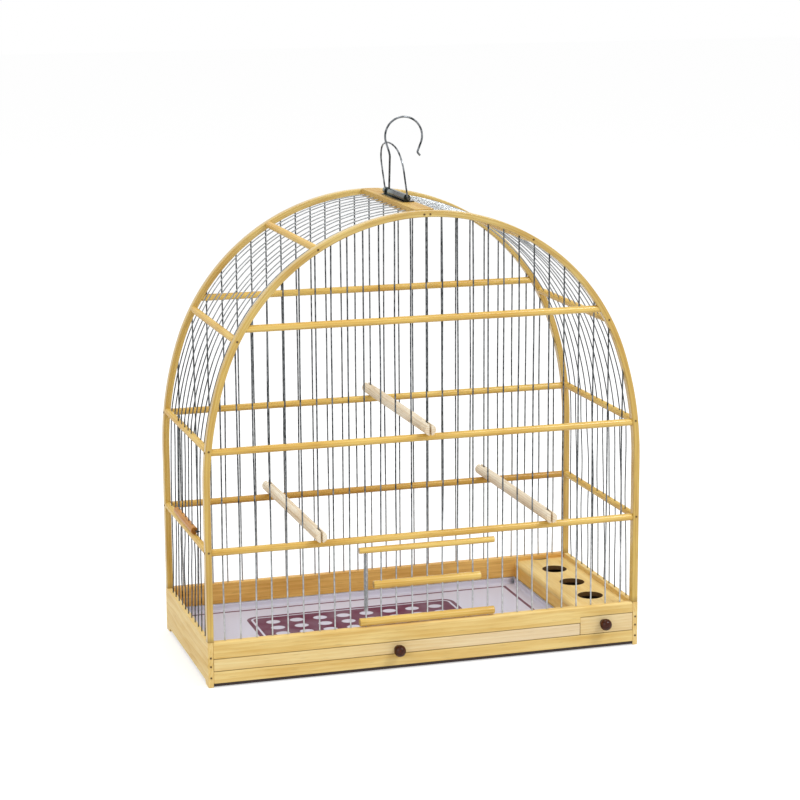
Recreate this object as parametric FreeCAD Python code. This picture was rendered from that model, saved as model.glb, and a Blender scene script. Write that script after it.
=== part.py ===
"""Arched wooden bird cage with a wire front, a sprung door, a lift-up side door, a tray and a seed drawer.

Millimetres. X runs left to right, Y from the front to the back, Z up.
The origin lies on the floor, midway between the two side panels.
"""
import FreeCAD
import Part
import math
import os

# Overall box of the frame
cage_width = 500.0
cage_depth = 228.0

# Base box
base_height = 51.0
panel_thickness = 6.0
foot_height = 4.3
foot_length = 14.0
bottom_sheet_thickness = 2.8
board_thickness = 9.0
bottom_rail_top = 17.8
strip_bottom = 32.0
seed_front_top = 38.4
strip_round = 2.5
runner_width = 6.0
runner_height = 5.0

# Seed bay at the right end of the base
seed_bay_width = 60.0
divider_thickness = 4.0
bench_top_drop = 5.0
bench_thickness = 5.0
bench_round = 4.0
seed_hole_diameter = 29.0
seed_hole_pitch = 58.0
seed_hole_count = 3

# Sliding parts of the base
slide_clearance = 0.3
side_clearance = 0.8
front_gap = 0.5
back_room = 1.0
pan_sheet = 0.8
pan_rim = 9.0
liner_sheet = 0.4
liner_inset = 2.0
seed_box_wall = 3.0

# Turned knobs
knob_diameter = 13.4
knob_collar_diameter = 8.0
knob_collar_length = 1.5
knob_neck_diameter = 5.6
knob_stand_off = 8.5
knob_offset = -4.0
knob_spigot_diameter = 5.0
knob_spigot_length = 6.0
tray_knob_height = 23.5
seed_knob_height = 30.0

# Bent arches: straight legs, a wide haunch arc, then one arc over the top
arch_thickness = 7.0
arch_depth = 10.0
arch_spring_height = 218.0
haunch_radius = 395.0
haunch_turn = math.radians(18.5)

# Round rods along the front and the back, round rails from arch to arch
rod_diameter = 8.0
lower_rod_height = 150.0
mid_rod_height = 260.0
upper_rod_height = 391.0
rail_diameter = 8.0
lower_rail_height = 151.0
mid_rail_height = 262.0
upper_rail_turn = math.radians(28.0)
shoulder_rail_turn = math.radians(59.5)

# Ridge board
ridge_width = 21.0
ridge_thickness = 8.5
ridge_rise = 0.8

# Wires
wire_diameter = 1.8
side_wire_diameter = 1.4
front_wire_pitch = 17.67
side_wire_pitch = 17.33
wire_edge_room = 8.0
wire_seat = 8.0
wire_end_room = 1.0
wire_fit = 0.03
roof_wire_inset = 4.2

# Front door, hung on one wire of the front
door_half_spaces = 4
door_top_bar_diameter = 7.0
door_mid_bar_diameter = 9.0
door_bottom_bar_diameter = 9.0
door_top_gap = 4.5
door_bottom_gap = 0.9
door_mid_height = 98.0
door_bar_overhang = 7.5
door_mid_overhang = 9.0
hinge_clearance = 0.05
notch_clearance = 0.35

# Torsion spring on the hinge wire
spring_outer_diameter = 4.9
spring_wire_diameter = 0.9
spring_coil_gap = 0.46
spring_turns = 48
spring_seat_gap = 0.1

# Side door, lifted along the wires of the left side
side_door_half_spaces = 3
side_door_bar_diameter = 8.0
side_door_end_gap = 4.5
side_door_wire_offset = 2.5
side_door_wire_top = 9.0
loop_wire_diameter = 1.2
loop_clearance = 0.35
loop_shank_seat = 6.0

# Perches
perch_diameter = 12.6
perch_overhang = 9.0
perch_slot_clearance = 0.35
perch_slot_floor = 3.0
perch_rest_gap = 0.3
upper_perch_space = 0
lower_left_perch_space = -7
lower_right_perch_space = 8

# Hanger on the ridge
bracket_length = 80.5
bracket_lip = 1.2
bracket_leaf = 4.5
bracket_sheet = 1.2
knuckle_diameter = 8.0
knuckle_gap = 11.0
hanger_pin_diameter = 3.5
hanger_pin_overhang = 5.0
hook_wire_diameter = 2.3
bail_wire_diameter = 1.9
bail_spring_height = 28.5
bail_corner_radius = 26.8
bail_corner_turn = math.radians(72.7)
hanger_lean = math.radians(7.8)
hook_foot_y = 27.5
hook_ring_radius = 21.4
hook_ring_x = 9.0
hook_ring_height = 64.0
hook_leave_turn = math.radians(18.0)
hook_leave_run = 14.0
hook_shank_bend = 14.0
hook_tip_turn = math.radians(22.0)
hook_tip_run = 11.0
hook_kick_run = 5.0
hook_kick_radius = 2.0
hook_kick_turn = math.radians(63.0)
screw_diameter = 2.6
screw_head_diameter = 4.4
screw_head_height = 1.6
screw_seat = 4.5

# Nails
nail_diameter = 1.6
nail_head_diameter = 2.2
nail_head_height = 0.5
nail_reach_share = 0.5
panel_nail_length = 14.0
panel_nail_height_shares = (0.22, 0.47, 0.66)
ridge_nail_spread = 3.3

# One overrun for every cut that runs past a face
overrun = 2.0

half_width = cage_width / 2
half_depth = cage_depth / 2
inner_half = half_width - panel_thickness
wire_radius = wire_diameter / 2
side_wire_radius = side_wire_diameter / 2
wire_plane = half_depth - arch_depth / 2
arch_back = half_depth - arch_depth
board_back = half_depth - board_thickness
divider_right = inner_half - seed_bay_width
divider_left = divider_right - divider_thickness
fronts_meet = divider_left
bench_top = base_height - bench_top_drop
bench_bottom = bench_top - bench_thickness
slide_floor = bottom_rail_top + slide_clearance

X_AXIS = FreeCAD.Vector(1, 0, 0)
Y_AXIS = FreeCAD.Vector(0, 1, 0)
Z_AXIS = FreeCAD.Vector(0, 0, 1)


def vec(x, y, z):
    return FreeCAD.Vector(x, y, z)


def block(x0, x1, y0, y1, z0, z1):
    """Rectangular block between two opposite corners."""
    return Part.makeBox(x1 - x0, y1 - y0, z1 - z0, vec(x0, y0, z0))


def rod(start, end, diameter):
    """Round bar from one point to another."""
    run = end - start
    return Part.makeCylinder(diameter / 2, run.Length, start, run)


def group(shapes):
    return Part.makeCompound(shapes)


def cut_all(shape, tools):
    """Shape with every tool taken away, as one clean solid."""
    if not tools:
        return shape
    result = shape.cut(group(tools))
    return result.Solids[0] if len(result.Solids) == 1 else result


def fused(shapes):
    """Several touching shapes joined to one solid."""
    result = shapes[0]
    for shape in shapes[1:]:
        result = result.fuse(shape)
    return result.removeSplitter().Solids[0]


def mirrored(shape):
    """The same shape on the other side of the middle plane."""
    return shape.mirror(vec(0, 0, 0), X_AXIS)


def moved_y(shape, y):
    copy = shape.copy()
    copy.translate(vec(0, y, 0))
    return copy


def swept_tube(edges, diameter):
    """Round tube along a chain of tangent lines and arcs."""
    path = Part.Wire(edges)
    start = edges[0].valueAt(edges[0].FirstParameter)
    along = edges[0].tangentAt(edges[0].FirstParameter)
    ring = Part.Wire([Part.makeCircle(diameter / 2, start, along)])
    return path.makePipeShell([ring], True, False)


class TwoRadiusArch:
    """Half of a symmetric arch, given on its outer edge.

    A straight leg rises to the spring height, an arc of the haunch radius turns inward, and one
    arc centred on the middle line closes the top. Inner lines are offsets with the same centres.
    """

    def __init__(self, half, spring, haunch, turn):
        self.half = half
        self.spring = spring
        self.haunch = haunch
        self.turn = turn
        join_x = half - haunch + haunch * math.cos(turn)
        self.crown = join_x / math.cos(turn)
        self.crown_z = spring + (haunch - self.crown) * math.sin(turn)
        self.top = self.crown_z + self.crown

    def at(self, turn, inset):
        """Point (x, z) where the arch has turned by an angle, from upright at zero."""
        if turn < self.turn:
            radius = self.haunch - inset
            return (self.half - self.haunch + radius * math.cos(turn),
                    self.spring + radius * math.sin(turn))
        radius = self.crown - inset
        return radius * math.cos(turn), self.crown_z + radius * math.sin(turn)

    def turn_at_height(self, z, inset):
        if z <= self.spring:
            return 0.0
        turn = math.asin((z - self.spring) / (self.haunch - inset))
        if turn < self.turn:
            return turn
        return math.asin((z - self.crown_z) / (self.crown - inset))

    def x_at_height(self, z, inset):
        if z <= self.spring:
            return self.half - inset
        return self.at(self.turn_at_height(z, inset), inset)[0]

    def height_at_x(self, x, inset):
        reach = abs(x)
        if reach <= self.at(self.turn, inset)[0]:
            return self.crown_z + math.sqrt((self.crown - inset) ** 2 - reach ** 2)
        return self.spring + math.sqrt((self.haunch - inset) ** 2 - (reach - self.half + self.haunch) ** 2)

    def arc(self, turn0, turn1, inset):
        """Edges in the plane y = 0 from one turn angle to a larger one, on the right half."""
        cuts = [turn0, turn1]
        if turn0 < self.turn < turn1:
            cuts = [turn0, self.turn, turn1]
        edges = []
        for a, b in zip(cuts, cuts[1:]):
            middle = (a + b) / 2
            points = [self.at(turn, inset) for turn in (a, middle, b)]
            edges.append(Part.Arc(*[vec(x, 0, z) for x, z in points]).toShape())
        return edges


frame_arch = TwoRadiusArch(half_width, arch_spring_height, haunch_radius, haunch_turn)
rail_inset = arch_thickness / 2
ridge_top = frame_arch.top + ridge_rise
ridge_bottom = ridge_top - ridge_thickness
inner_wires = int((inner_half - wire_edge_room) / front_wire_pitch)
front_indices = range(-inner_wires, inner_wires + 1)
side_wires = int((arch_back - wire_edge_room) / side_wire_pitch)
side_indices = range(-side_wires, side_wires + 1)


def half_arch_points(inset):
    """Named points of the right half of the arch at one inset."""
    spring = (half_width - inset, arch_spring_height)
    return spring, frame_arch.at(haunch_turn / 2, inset), frame_arch.at(haunch_turn, inset)


def arch_line(inset, foot):
    """Edges of the whole arch at one inset, from the right foot over the top to the left foot."""
    spring, haunch, join = [vec(x, 0, z) for x, z in half_arch_points(inset)]
    left = [vec(-p.x, 0, p.z) for p in (spring, haunch, join)]
    crown = vec(0, 0, frame_arch.top - inset)
    right_foot = vec(spring.x, 0, foot)
    left_foot = vec(-spring.x, 0, foot)
    return [Part.makeLine(right_foot, spring), Part.Arc(spring, haunch, join).toShape(),
            Part.Arc(join, crown, left[2]).toShape(), Part.Arc(left[2], left[1], left[0]).toShape(),
            Part.makeLine(left[0], left_foot)]


def arch_strip(y0):
    """Bent strip of one face of the cage, standing on the side panels."""
    outer = arch_line(0.0, base_height)
    inner = arch_line(arch_thickness, base_height)
    x_in = half_width - arch_thickness
    feet = [Part.makeLine(vec(half_width, 0, base_height), vec(x_in, 0, base_height)),
            Part.makeLine(vec(-x_in, 0, base_height), vec(-half_width, 0, base_height))]
    face = Part.Face(Part.Wire(Part.__sortEdges__(outer + inner + feet)))
    return moved_y(face.extrude(Y_AXIS * arch_depth), y0)


def inside_of_arch():
    """Everything inside the arch strips, as one prism through the depth."""
    line = arch_line(arch_thickness, 0.0)
    x_in = half_width - arch_thickness
    line.append(Part.makeLine(vec(-x_in, 0, 0), vec(x_in, 0, 0)))
    face = Part.Face(Part.Wire(Part.__sortEdges__(line)))
    return moved_y(face.extrude(Y_AXIS * cage_depth), -half_depth)


def front_wire_x(index):
    return index * front_wire_pitch


def face_wires(y, grow):
    """Upright wires of the front or the back, from the base board into the arch."""
    wires = []
    radius = wire_radius + grow
    for index in front_indices:
        x = front_wire_x(index)
        low = base_height - wire_seat
        if y < 0 and abs(index) < door_half_spaces:
            low = lower_rod_height
        high = frame_arch.height_at_x(x, arch_thickness / 2)
        wires.append(Part.makeCylinder(radius, high - low + 2 * grow, vec(x, y, low - grow)))
    return wires


roof_start_turn = frame_arch.turn_at_height(mid_rail_height + wire_end_room, roof_wire_inset)
side_wire_foot = vec(half_width - panel_thickness / 2, 0, base_height - wire_seat)
side_wire_head = vec(frame_arch.x_at_height(mid_rail_height, roof_wire_inset), 0, mid_rail_height)
side_wire_run = (side_wire_head - side_wire_foot).normalize()


def side_wire_x(z):
    """Distance of a side wire from the middle plane at a height."""
    share = (z - side_wire_foot.z) / (side_wire_head.z - side_wire_foot.z)
    return side_wire_foot.x + share * (side_wire_head.x - side_wire_foot.x)


def side_wire(y, top, grow):
    """One wire of the right side, leaning with the arch, from the panel up to a height."""
    start = vec(side_wire_foot.x, y, side_wire_foot.z) - side_wire_run * grow
    end = vec(side_wire_x(top), y, top) + side_wire_run * grow
    return rod(start, end, side_wire_diameter + 2 * grow)


def side_wire_set(left, grow):
    """Wires of one side. Those of the left side's door opening end in the lower rail."""
    wires = []
    for index in side_indices:
        top = mid_rail_height - wire_end_room
        if left and abs(index) < side_door_half_spaces:
            top = lower_rail_height
        wire = side_wire(index * side_wire_pitch, top, grow)
        wires.append(mirrored(wire) if left else wire)
    return wires


ridge_seat_turn = math.acos((ridge_width / 2 - wire_seat) / (frame_arch.crown - roof_wire_inset))


def roof_bay(turn0, turn1, grow):
    """Roof wire of the right side between two rails, in the plane y = 0."""
    return swept_tube(frame_arch.arc(turn0, turn1, roof_wire_inset), side_wire_diameter + 2 * grow)


roof_turns = (roof_start_turn, upper_rail_turn, shoulder_rail_turn, ridge_seat_turn)


def roof_wire_set(left, grow):
    """Roof wires of one half, bay by bay, meeting inside the drilled rails."""
    wires = []
    for turn0, turn1 in zip(roof_turns, roof_turns[1:]):
        bay = roof_bay(turn0, turn1, grow)
        bay = mirrored(bay) if left else bay
        wires.extend(moved_y(bay, index * side_wire_pitch) for index in side_indices)
    return wires


def headed_nail(point, direction, length, grow):
    """Nail driven from a face point inward, or its hole where grown. The head stands on the face."""
    shank = Part.makeCylinder(nail_diameter / 2 + grow, length + grow, point, direction)
    if grow:
        return shank
    head = Part.makeCylinder(nail_head_diameter / 2, nail_head_height, point, direction * -1)
    return fused([head, shank])


def rail_place(name):
    """Axis (x, z) of a right-hand rail."""
    if name == "upper":
        return frame_arch.at(upper_rail_turn, rail_inset)
    if name == "shoulder":
        return frame_arch.at(shoulder_rail_turn, rail_inset)
    height = lower_rail_height if name == "lower" else mid_rail_height
    return frame_arch.x_at_height(height, rail_inset), height


RAIL_NAMES = ("lower", "mid", "upper", "shoulder")
rod_heights = {"lower": lower_rod_height, "mid": mid_rod_height, "upper": upper_rod_height}


def nail_set(grow):
    """Every nail of the frame: through the arches into rails, rods and ridge, and in the panel edges."""
    nails = []
    side_room = arch_back - side_wires * side_wire_pitch - side_wire_radius
    rail_length = arch_depth + nail_reach_share * side_room
    for facing in (1, -1):
        face_y = -facing * half_depth
        inward = Y_AXIS * facing
        for side in (1, -1):
            for name in RAIL_NAMES:
                x, z = rail_place(name)
                nails.append(headed_nail(vec(side * x, face_y, z), inward, rail_length, grow))
            x = side * ridge_nail_spread
            z = (frame_arch.top + ridge_bottom) / 2
            nails.append(headed_nail(vec(x, face_y, z), inward, rail_length, grow))
            for name in ("lower", "mid"):
                z = rod_heights[name]
                outer = frame_arch.x_at_height(z, 0.0)
                inner = frame_arch.x_at_height(z, arch_thickness)
                room = inner - front_wire_x(inner_wires) - wire_radius
                length = outer - inner + nail_reach_share * room
                turn = frame_arch.turn_at_height(z, 0.0)
                point = vec(side * outer, -facing * wire_plane, z)
                square_in = vec(-side * math.cos(turn), 0, -math.sin(turn))
                nails.append(headed_nail(point, square_in, length, grow))
    for side in (1, -1):
        for share in panel_nail_height_shares:
            point = vec(side * (half_width - panel_thickness / 2), -half_depth, share * base_height)
            nails.append(headed_nail(point, Y_AXIS, panel_nail_length, grow))
    return nails


def side_panel(side, holes):
    """Side panel of the base, which also makes the two feet of its side."""
    inner = side * inner_half
    outer = side * half_width
    panel = block(min(inner, outer), max(inner, outer), -half_depth, half_depth, 0, base_height)
    foot = half_depth - foot_length
    slope = foot - foot_height
    outline = [(-foot, -overrun), (-foot, 0), (-slope, foot_height), (slope, foot_height), (foot, 0),
               (foot, -overrun), (-foot, -overrun)]
    face = Part.Face(Part.makePolygon([vec(min(inner, outer) - overrun, y, z) for y, z in outline]))
    relief = face.extrude(X_AXIS * (panel_thickness + 2 * overrun))
    return cut_all(panel, [relief] + holes)


def back_board(holes):
    board = block(-inner_half, inner_half, board_back, half_depth, foot_height, base_height)
    return cut_all(board, holes)


def front_strip(holes):
    """Top strip of the front, with its upper edges rounded and a notch for the seed drawer."""
    strip = block(-inner_half, inner_half, -half_depth, -board_back, strip_bottom, base_height)
    edges = [e for e in strip.Edges if abs(e.CenterOfMass.z - base_height) < wire_fit
             and abs(e.CenterOfMass.x) < wire_fit]
    strip = strip.makeFillet(strip_round, edges)
    notch = block(fronts_meet, inner_half + overrun, -half_depth - overrun, -board_back + overrun,
                  strip_bottom - overrun, seed_front_top + slide_clearance)
    return cut_all(strip, [notch] + holes)


def front_bottom_rail():
    return block(-inner_half, inner_half, -half_depth, -board_back, foot_height, bottom_rail_top)


def bottom_sheet():
    """Hardboard sheet nailed up under the rail and the back board, between the side panels."""
    return block(-inner_half, inner_half, -half_depth, half_depth,
                 foot_height - bottom_sheet_thickness, foot_height)


def drawer_runners():
    """Runners under the tray and the seed drawer, on the panels and on both faces of the divider."""
    z0 = bottom_rail_top - runner_height
    starts = (-inner_half, divider_left - runner_width, divider_right, inner_half - runner_width)
    return group([block(x, x + runner_width, -board_back, board_back, z0, bottom_rail_top) for x in starts])


def seed_divider():
    """Upright wall between the tray and the seed drawer."""
    return block(divider_left, divider_right, -board_back, board_back,
                 bottom_rail_top - runner_height, bench_bottom)


def seed_bench():
    """Bench board over the seed drawer, with a rounded edge and round feeding holes."""
    board = block(divider_left, inner_half, -board_back, board_back, bench_bottom, bench_top)
    edges = [e for e in board.Edges if abs(e.CenterOfMass.z - bench_top) < wire_fit
             and abs(e.CenterOfMass.x - divider_left) < wire_fit]
    board = board.makeFillet(bench_round, edges)
    x = divider_right + seed_bay_width / 2
    first = -(seed_hole_count - 1) / 2
    holes = []
    for index in range(seed_hole_count):
        place = vec(x, (first + index) * seed_hole_pitch, bench_bottom - overrun)
        holes.append(Part.makeCylinder(seed_hole_diameter / 2, bench_thickness + 2 * overrun, place))
    return cut_all(board, holes)


def face_rod(y, height, inside, holes):
    """Round rod across one face, ending on the inner side of the arch."""
    bar = rod(vec(-half_width, y, height), vec(half_width, y, height), rod_diameter)
    return cut_all(bar.common(inside), holes)


def side_rail(side, name, holes):
    """Round rail from arch to arch, drilled for the wires of its side."""
    x, z = rail_place(name)
    bar = rod(vec(side * x, -arch_back, z), vec(side * x, arch_back, z), rail_diameter)
    return cut_all(bar, holes)


def ridge_board(holes):
    board = block(-ridge_width / 2, ridge_width / 2, -arch_back, arch_back, ridge_bottom, ridge_top)
    return cut_all(board, holes)


door_top_height = lower_rod_height - rod_diameter / 2 - door_top_gap - door_top_bar_diameter / 2
door_bottom_height = base_height + door_bottom_gap + door_bottom_bar_diameter / 2
hinge_x = front_wire_x(-door_half_spaces)
latch_x = front_wire_x(door_half_spaces)


def door_wire_set(grow):
    """Wires of the front door, held in its top and bottom bars."""
    indices = range(1 - door_half_spaces, door_half_spaces)
    run = door_top_height - door_bottom_height
    return [Part.makeCylinder(wire_radius + grow, run + 2 * grow,
                              vec(front_wire_x(i), -wire_plane, door_bottom_height - grow)) for i in indices]


def door_end_bar(height, diameter):
    """Top or bottom bar of the door: bored for the hinge wire, notched behind for the far wire."""
    reach = -hinge_x + door_bar_overhang
    bar = rod(vec(-reach, -wire_plane, height), vec(reach, -wire_plane, height), diameter)
    bore = Part.makeCylinder(wire_radius + hinge_clearance, diameter + 2 * overrun,
                             vec(hinge_x, -wire_plane, height - diameter / 2 - overrun))
    half_notch = wire_radius + notch_clearance
    notch = block(latch_x - half_notch, latch_x + half_notch, -wire_plane - half_notch,
                  -wire_plane + diameter / 2 + overrun, height - diameter / 2 - overrun,
                  height + diameter / 2 + overrun)
    return cut_all(bar, [bore, notch] + door_wire_set(wire_fit))


def door_mid_bar():
    reach = front_wire_x(door_half_spaces - 1) + door_mid_overhang
    bar = rod(vec(-reach, -wire_plane, door_mid_height), vec(reach, -wire_plane, door_mid_height),
              door_mid_bar_diameter)
    return cut_all(bar, door_wire_set(wire_fit))


def tangent_arc(start, along, end):
    """Arc from a point with a given direction to an end point."""
    chord = end - start
    half = chord.Length / 2
    unit = chord.normalize()
    side = along - unit * along.dot(unit)
    angle = along.getAngle(unit)
    middle = (start + end) * 0.5 + side.normalize() * (half * math.tan(angle / 2))
    return Part.Arc(start, middle, end).toShape()


def biarc(p0, t0, p1, t1):
    """Two arcs that join two points and follow a direction at each."""
    run = p1 - p0
    both = t0 + t1
    a = 2 * (1 - t0.dot(t1))
    b = 2 * run.dot(both)
    reach = (-b + math.sqrt(b * b + 4 * a * run.dot(run))) / (2 * a)
    q0 = p0 + t0 * reach
    q1 = p1 - t1 * reach
    join = (q0 + q1) * 0.5
    first = tangent_arc(p0, t0, join)
    second_along = (q1 - q0).normalize()
    return [first, tangent_arc(join, second_along, p1)]


def door_spring():
    """Close-wound torsion spring round the hinge wire, under the door's top bar."""
    radius = (spring_outer_diameter - spring_wire_diameter) / 2
    pitch = spring_wire_diameter + spring_coil_gap
    top = door_top_height - door_top_bar_diameter / 2 - spring_seat_gap - spring_wire_diameter / 2
    bottom = top - spring_turns * pitch
    rise = pitch / (2 * math.pi * radius)
    scale = 1 / math.hypot(1, rise)

    def on_helix(turn):
        angle = 2 * math.pi * turn
        place = vec(hinge_x + radius * math.cos(angle), -wire_plane + radius * math.sin(angle),
                    bottom + pitch * turn)
        along = vec(-math.sin(angle) * scale, math.cos(angle) * scale, rise * scale)
        return place, along

    edges = []
    place, along = on_helix(0)
    edges.append(Part.makeLine(place - along * spring_wire_diameter, place))
    for step in range(2 * spring_turns):
        p0, t0 = on_helix(step / 2)
        p1, t1 = on_helix((step + 1) / 2)
        edges.extend(biarc(p0, t0, p1, t1))
    place, along = on_helix(spring_turns)
    edges.append(Part.makeLine(place, place + along * spring_wire_diameter))
    report_spring_gap(edges)
    return swept_tube(edges, spring_wire_diameter)


def report_spring_gap(edges):
    """Least gap between turns, on points along the middle line at least half a turn apart."""
    points_per_edge = 8
    points = []
    for edge in edges[1:-1]:
        points.extend(edge.discretize(points_per_edge + 1)[:-1])
    half_turn = 2 * points_per_edge
    window = 6 * half_turn
    least = min((points[i] - points[j]).Length for i in range(len(points))
                for j in range(i + half_turn, min(i + window, len(points))))
    print("spring: least gap to itself %.3f mm over %d turns" % (least - spring_wire_diameter, spring_turns))


def side_door_line(z):
    """Place of the side door's wires, outside the fixed wires of the left side."""
    return -(side_wire_x(z) + side_door_wire_offset)


def side_door_bar_place():
    """Axis of the side door's bar, resting just over the left lower rail."""
    apart = (rail_diameter + side_door_bar_diameter) / 2 + slide_clearance
    z = lower_rail_height + apart
    return vec(side_door_line(z), 0, z)


def side_door_wire_set(grow):
    bar = side_door_bar_place()
    top = mid_rail_height + rail_diameter / 2 + side_door_wire_top
    wires = []
    for index in range(1 - side_door_half_spaces, side_door_half_spaces):
        y = index * side_wire_pitch
        start = vec(bar.x, y, bar.z)
        wires.append(rod(start, vec(side_door_line(top), y, top), side_wire_diameter + 2 * grow))
    return wires


def side_door_loop(end, grow):
    """Wire eye at one end of the bar, round the fixed wire beside the door."""
    bar = side_door_bar_place()
    y = end * side_door_half_spaces * side_wire_pitch
    ring_radius = side_wire_radius + loop_clearance + loop_wire_diameter / 2
    centre = vec(-side_wire_x(bar.z), y, bar.z)
    axis = vec(-side_wire_run.x, 0, side_wire_run.z)
    offset = (side_door_wire_offset + ring_radius) / 2 - loop_wire_diameter / 2
    shank_x = centre.x - offset
    reach = math.sqrt(ring_radius ** 2 - offset ** 2)
    bar_end = side_door_half_spaces * side_wire_pitch - side_door_end_gap
    start = vec(shank_x, y - end * reach, bar.z)
    stop = vec(shank_x, end * (bar_end - loop_shank_seat), bar.z)
    if grow:
        return rod(start, stop - Y_AXIS * (end * grow), loop_wire_diameter + 2 * grow)
    ring = Part.makeTorus(ring_radius, loop_wire_diameter / 2, centre, axis)
    return fused([ring, rod(start, stop, loop_wire_diameter)])


def side_door_bar():
    bar = side_door_bar_place()
    reach = side_door_half_spaces * side_wire_pitch - side_door_end_gap
    solid = rod(vec(bar.x, -reach, bar.z), vec(bar.x, reach, bar.z), side_door_bar_diameter)
    holes = side_door_wire_set(wire_fit) + [side_door_loop(end, wire_fit) for end in (1, -1)]
    return cut_all(solid, holes)


def perch(space, rod_height):
    """Round perch across the cage, slotted at both ends over a wire of the front and of the back."""
    x = front_wire_x(space)
    z = rod_height + rod_diameter / 2 + perch_rest_gap + perch_diameter / 2
    reach = half_depth + perch_overhang
    bar = rod(vec(x, -reach, z), vec(x, reach, z), perch_diameter)
    half_slot = wire_radius + perch_slot_clearance
    floor = wire_plane - half_slot - perch_slot_floor
    slots = []
    for y0, y1 in ((-reach - overrun, -floor), (floor, reach + overrun)):
        slots.append(block(x - half_slot, x + half_slot, y0, y1, z - perch_diameter, z + perch_diameter))
    return cut_all(bar, slots)


def tray_front(knob_hole):
    front = block(-inner_half + slide_clearance, fronts_meet - front_gap / 2, -half_depth, -board_back,
                  slide_floor, strip_bottom - slide_clearance)
    return cut_all(front, [knob_hole])


def tray_pan():
    """Sheet pan behind the tray front, with a turned-up rim."""
    x0 = -inner_half + side_clearance
    x1 = divider_left - side_clearance
    y1 = board_back - back_room
    outer = block(x0, x1, -board_back, y1, slide_floor, slide_floor + pan_rim)
    inner = block(x0 + pan_sheet, x1 - pan_sheet, -board_back + pan_sheet, y1 - pan_sheet,
                  slide_floor + pan_sheet, slide_floor + pan_rim + overrun)
    return outer.cut(inner)


def tray_liner():
    """Paper sheet on the floor of the pan."""
    inset = side_clearance + pan_sheet + liner_inset
    y1 = board_back - back_room - pan_sheet - liner_inset
    z0 = slide_floor + pan_sheet
    return block(-inner_half + inset, divider_left - inset, -board_back + pan_sheet + liner_inset, y1,
                 z0, z0 + liner_sheet)


def seed_front(knob_hole):
    front = block(fronts_meet + front_gap / 2, inner_half - slide_clearance, -half_depth, -board_back,
                  slide_floor, seed_front_top)
    return cut_all(front, [knob_hole])


def seed_box():
    """Open seed drawer box behind its front."""
    x0 = divider_right + side_clearance
    x1 = inner_half - side_clearance
    y1 = board_back - back_room
    outer = block(x0, x1, -board_back, y1, slide_floor, seed_front_top)
    inner = block(x0 + seed_box_wall, x1 - seed_box_wall, -board_back + seed_box_wall, y1 - seed_box_wall,
                  slide_floor + seed_box_wall, seed_front_top + overrun)
    return outer.cut(inner)


def knob_spigot(x, z, grow):
    return Part.makeCylinder(knob_spigot_diameter / 2 + grow, knob_spigot_length + grow,
                             vec(x, -half_depth, z), Y_AXIS)


def knob(x, z):
    """Turned knob on a drawer front: spigot, collar, neck and ball."""
    outward = Y_AXIS * -1
    face = vec(x, -half_depth, z)
    collar = Part.makeCylinder(knob_collar_diameter / 2, knob_collar_length, face, outward)
    neck = Part.makeCylinder(knob_neck_diameter / 2, knob_stand_off, face, outward)
    ball = Part.makeSphere(knob_diameter / 2, face + outward * knob_stand_off)
    return fused([ball, neck, collar, knob_spigot(x, z, 0)])


tray_knob_x = (fronts_meet - inner_half) / 2 + knob_offset
seed_knob_x = (fronts_meet + inner_half) / 2 + knob_offset

pin_axis_height = ridge_top + bracket_sheet / 2 + knuckle_diameter / 2
pin_reach = bracket_length / 2 + hanger_pin_overhang
bail_half = bracket_length / 2 + hanger_pin_overhang / 2
bail_arch = TwoRadiusArch(bail_half, bail_spring_height, bail_corner_radius, bail_corner_turn)


def screw_places():
    """Screws in the bracket's leaf, between the roof wires."""
    x = (knuckle_diameter + bracket_leaf) / 2
    y = side_wire_pitch + side_wire_pitch / 2
    return [vec(x, end * y, ridge_top) for end in (1, -1)]


def screw_hole(place, grow):
    depth = screw_seat + bracket_sheet + grow
    return Part.makeCylinder(screw_diameter / 2 + grow, depth, place + Z_AXIS * bracket_sheet, Z_AXIS * -1)


def hanger_screws():
    screws = []
    for place in screw_places():
        head = Part.makeCylinder(screw_head_diameter / 2, screw_head_height, place + Z_AXIS * bracket_sheet)
        screws.append(fused([head, screw_hole(place, 0)]))
    return group(screws)


def hanger_bracket():
    """Sheet bracket on the ridge: a screwed leaf, rolled to two knuckles round the hanger's pin."""
    half = bracket_length / 2
    plate = block(-knuckle_diameter / 2 - bracket_lip, knuckle_diameter / 2 + bracket_leaf, -half, half,
                  ridge_top, ridge_top + bracket_sheet)
    spans = ((-half, hook_foot_y - knuckle_gap / 2), (hook_foot_y + knuckle_gap / 2, half))
    knuckles = [rod(vec(0, y0, pin_axis_height), vec(0, y1, pin_axis_height), knuckle_diameter)
                for y0, y1 in spans]
    bore = rod(vec(0, -half - overrun, pin_axis_height), vec(0, half + overrun, pin_axis_height),
               hanger_pin_diameter + 2 * hinge_clearance)
    body = fused([plate] + knuckles)
    return cut_all(body, [bore] + [screw_hole(place, wire_fit) for place in screw_places()])


def leaned(shape):
    """Hanger piece turned with the pin to the lean that it stands at."""
    copy = shape.copy()
    copy.rotate(vec(0, 0, pin_axis_height), Y_AXIS, -math.degrees(hanger_lean))
    return copy


def hanger_pin():
    return rod(vec(0, -pin_reach, pin_axis_height), vec(0, pin_reach, pin_axis_height), hanger_pin_diameter)


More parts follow.
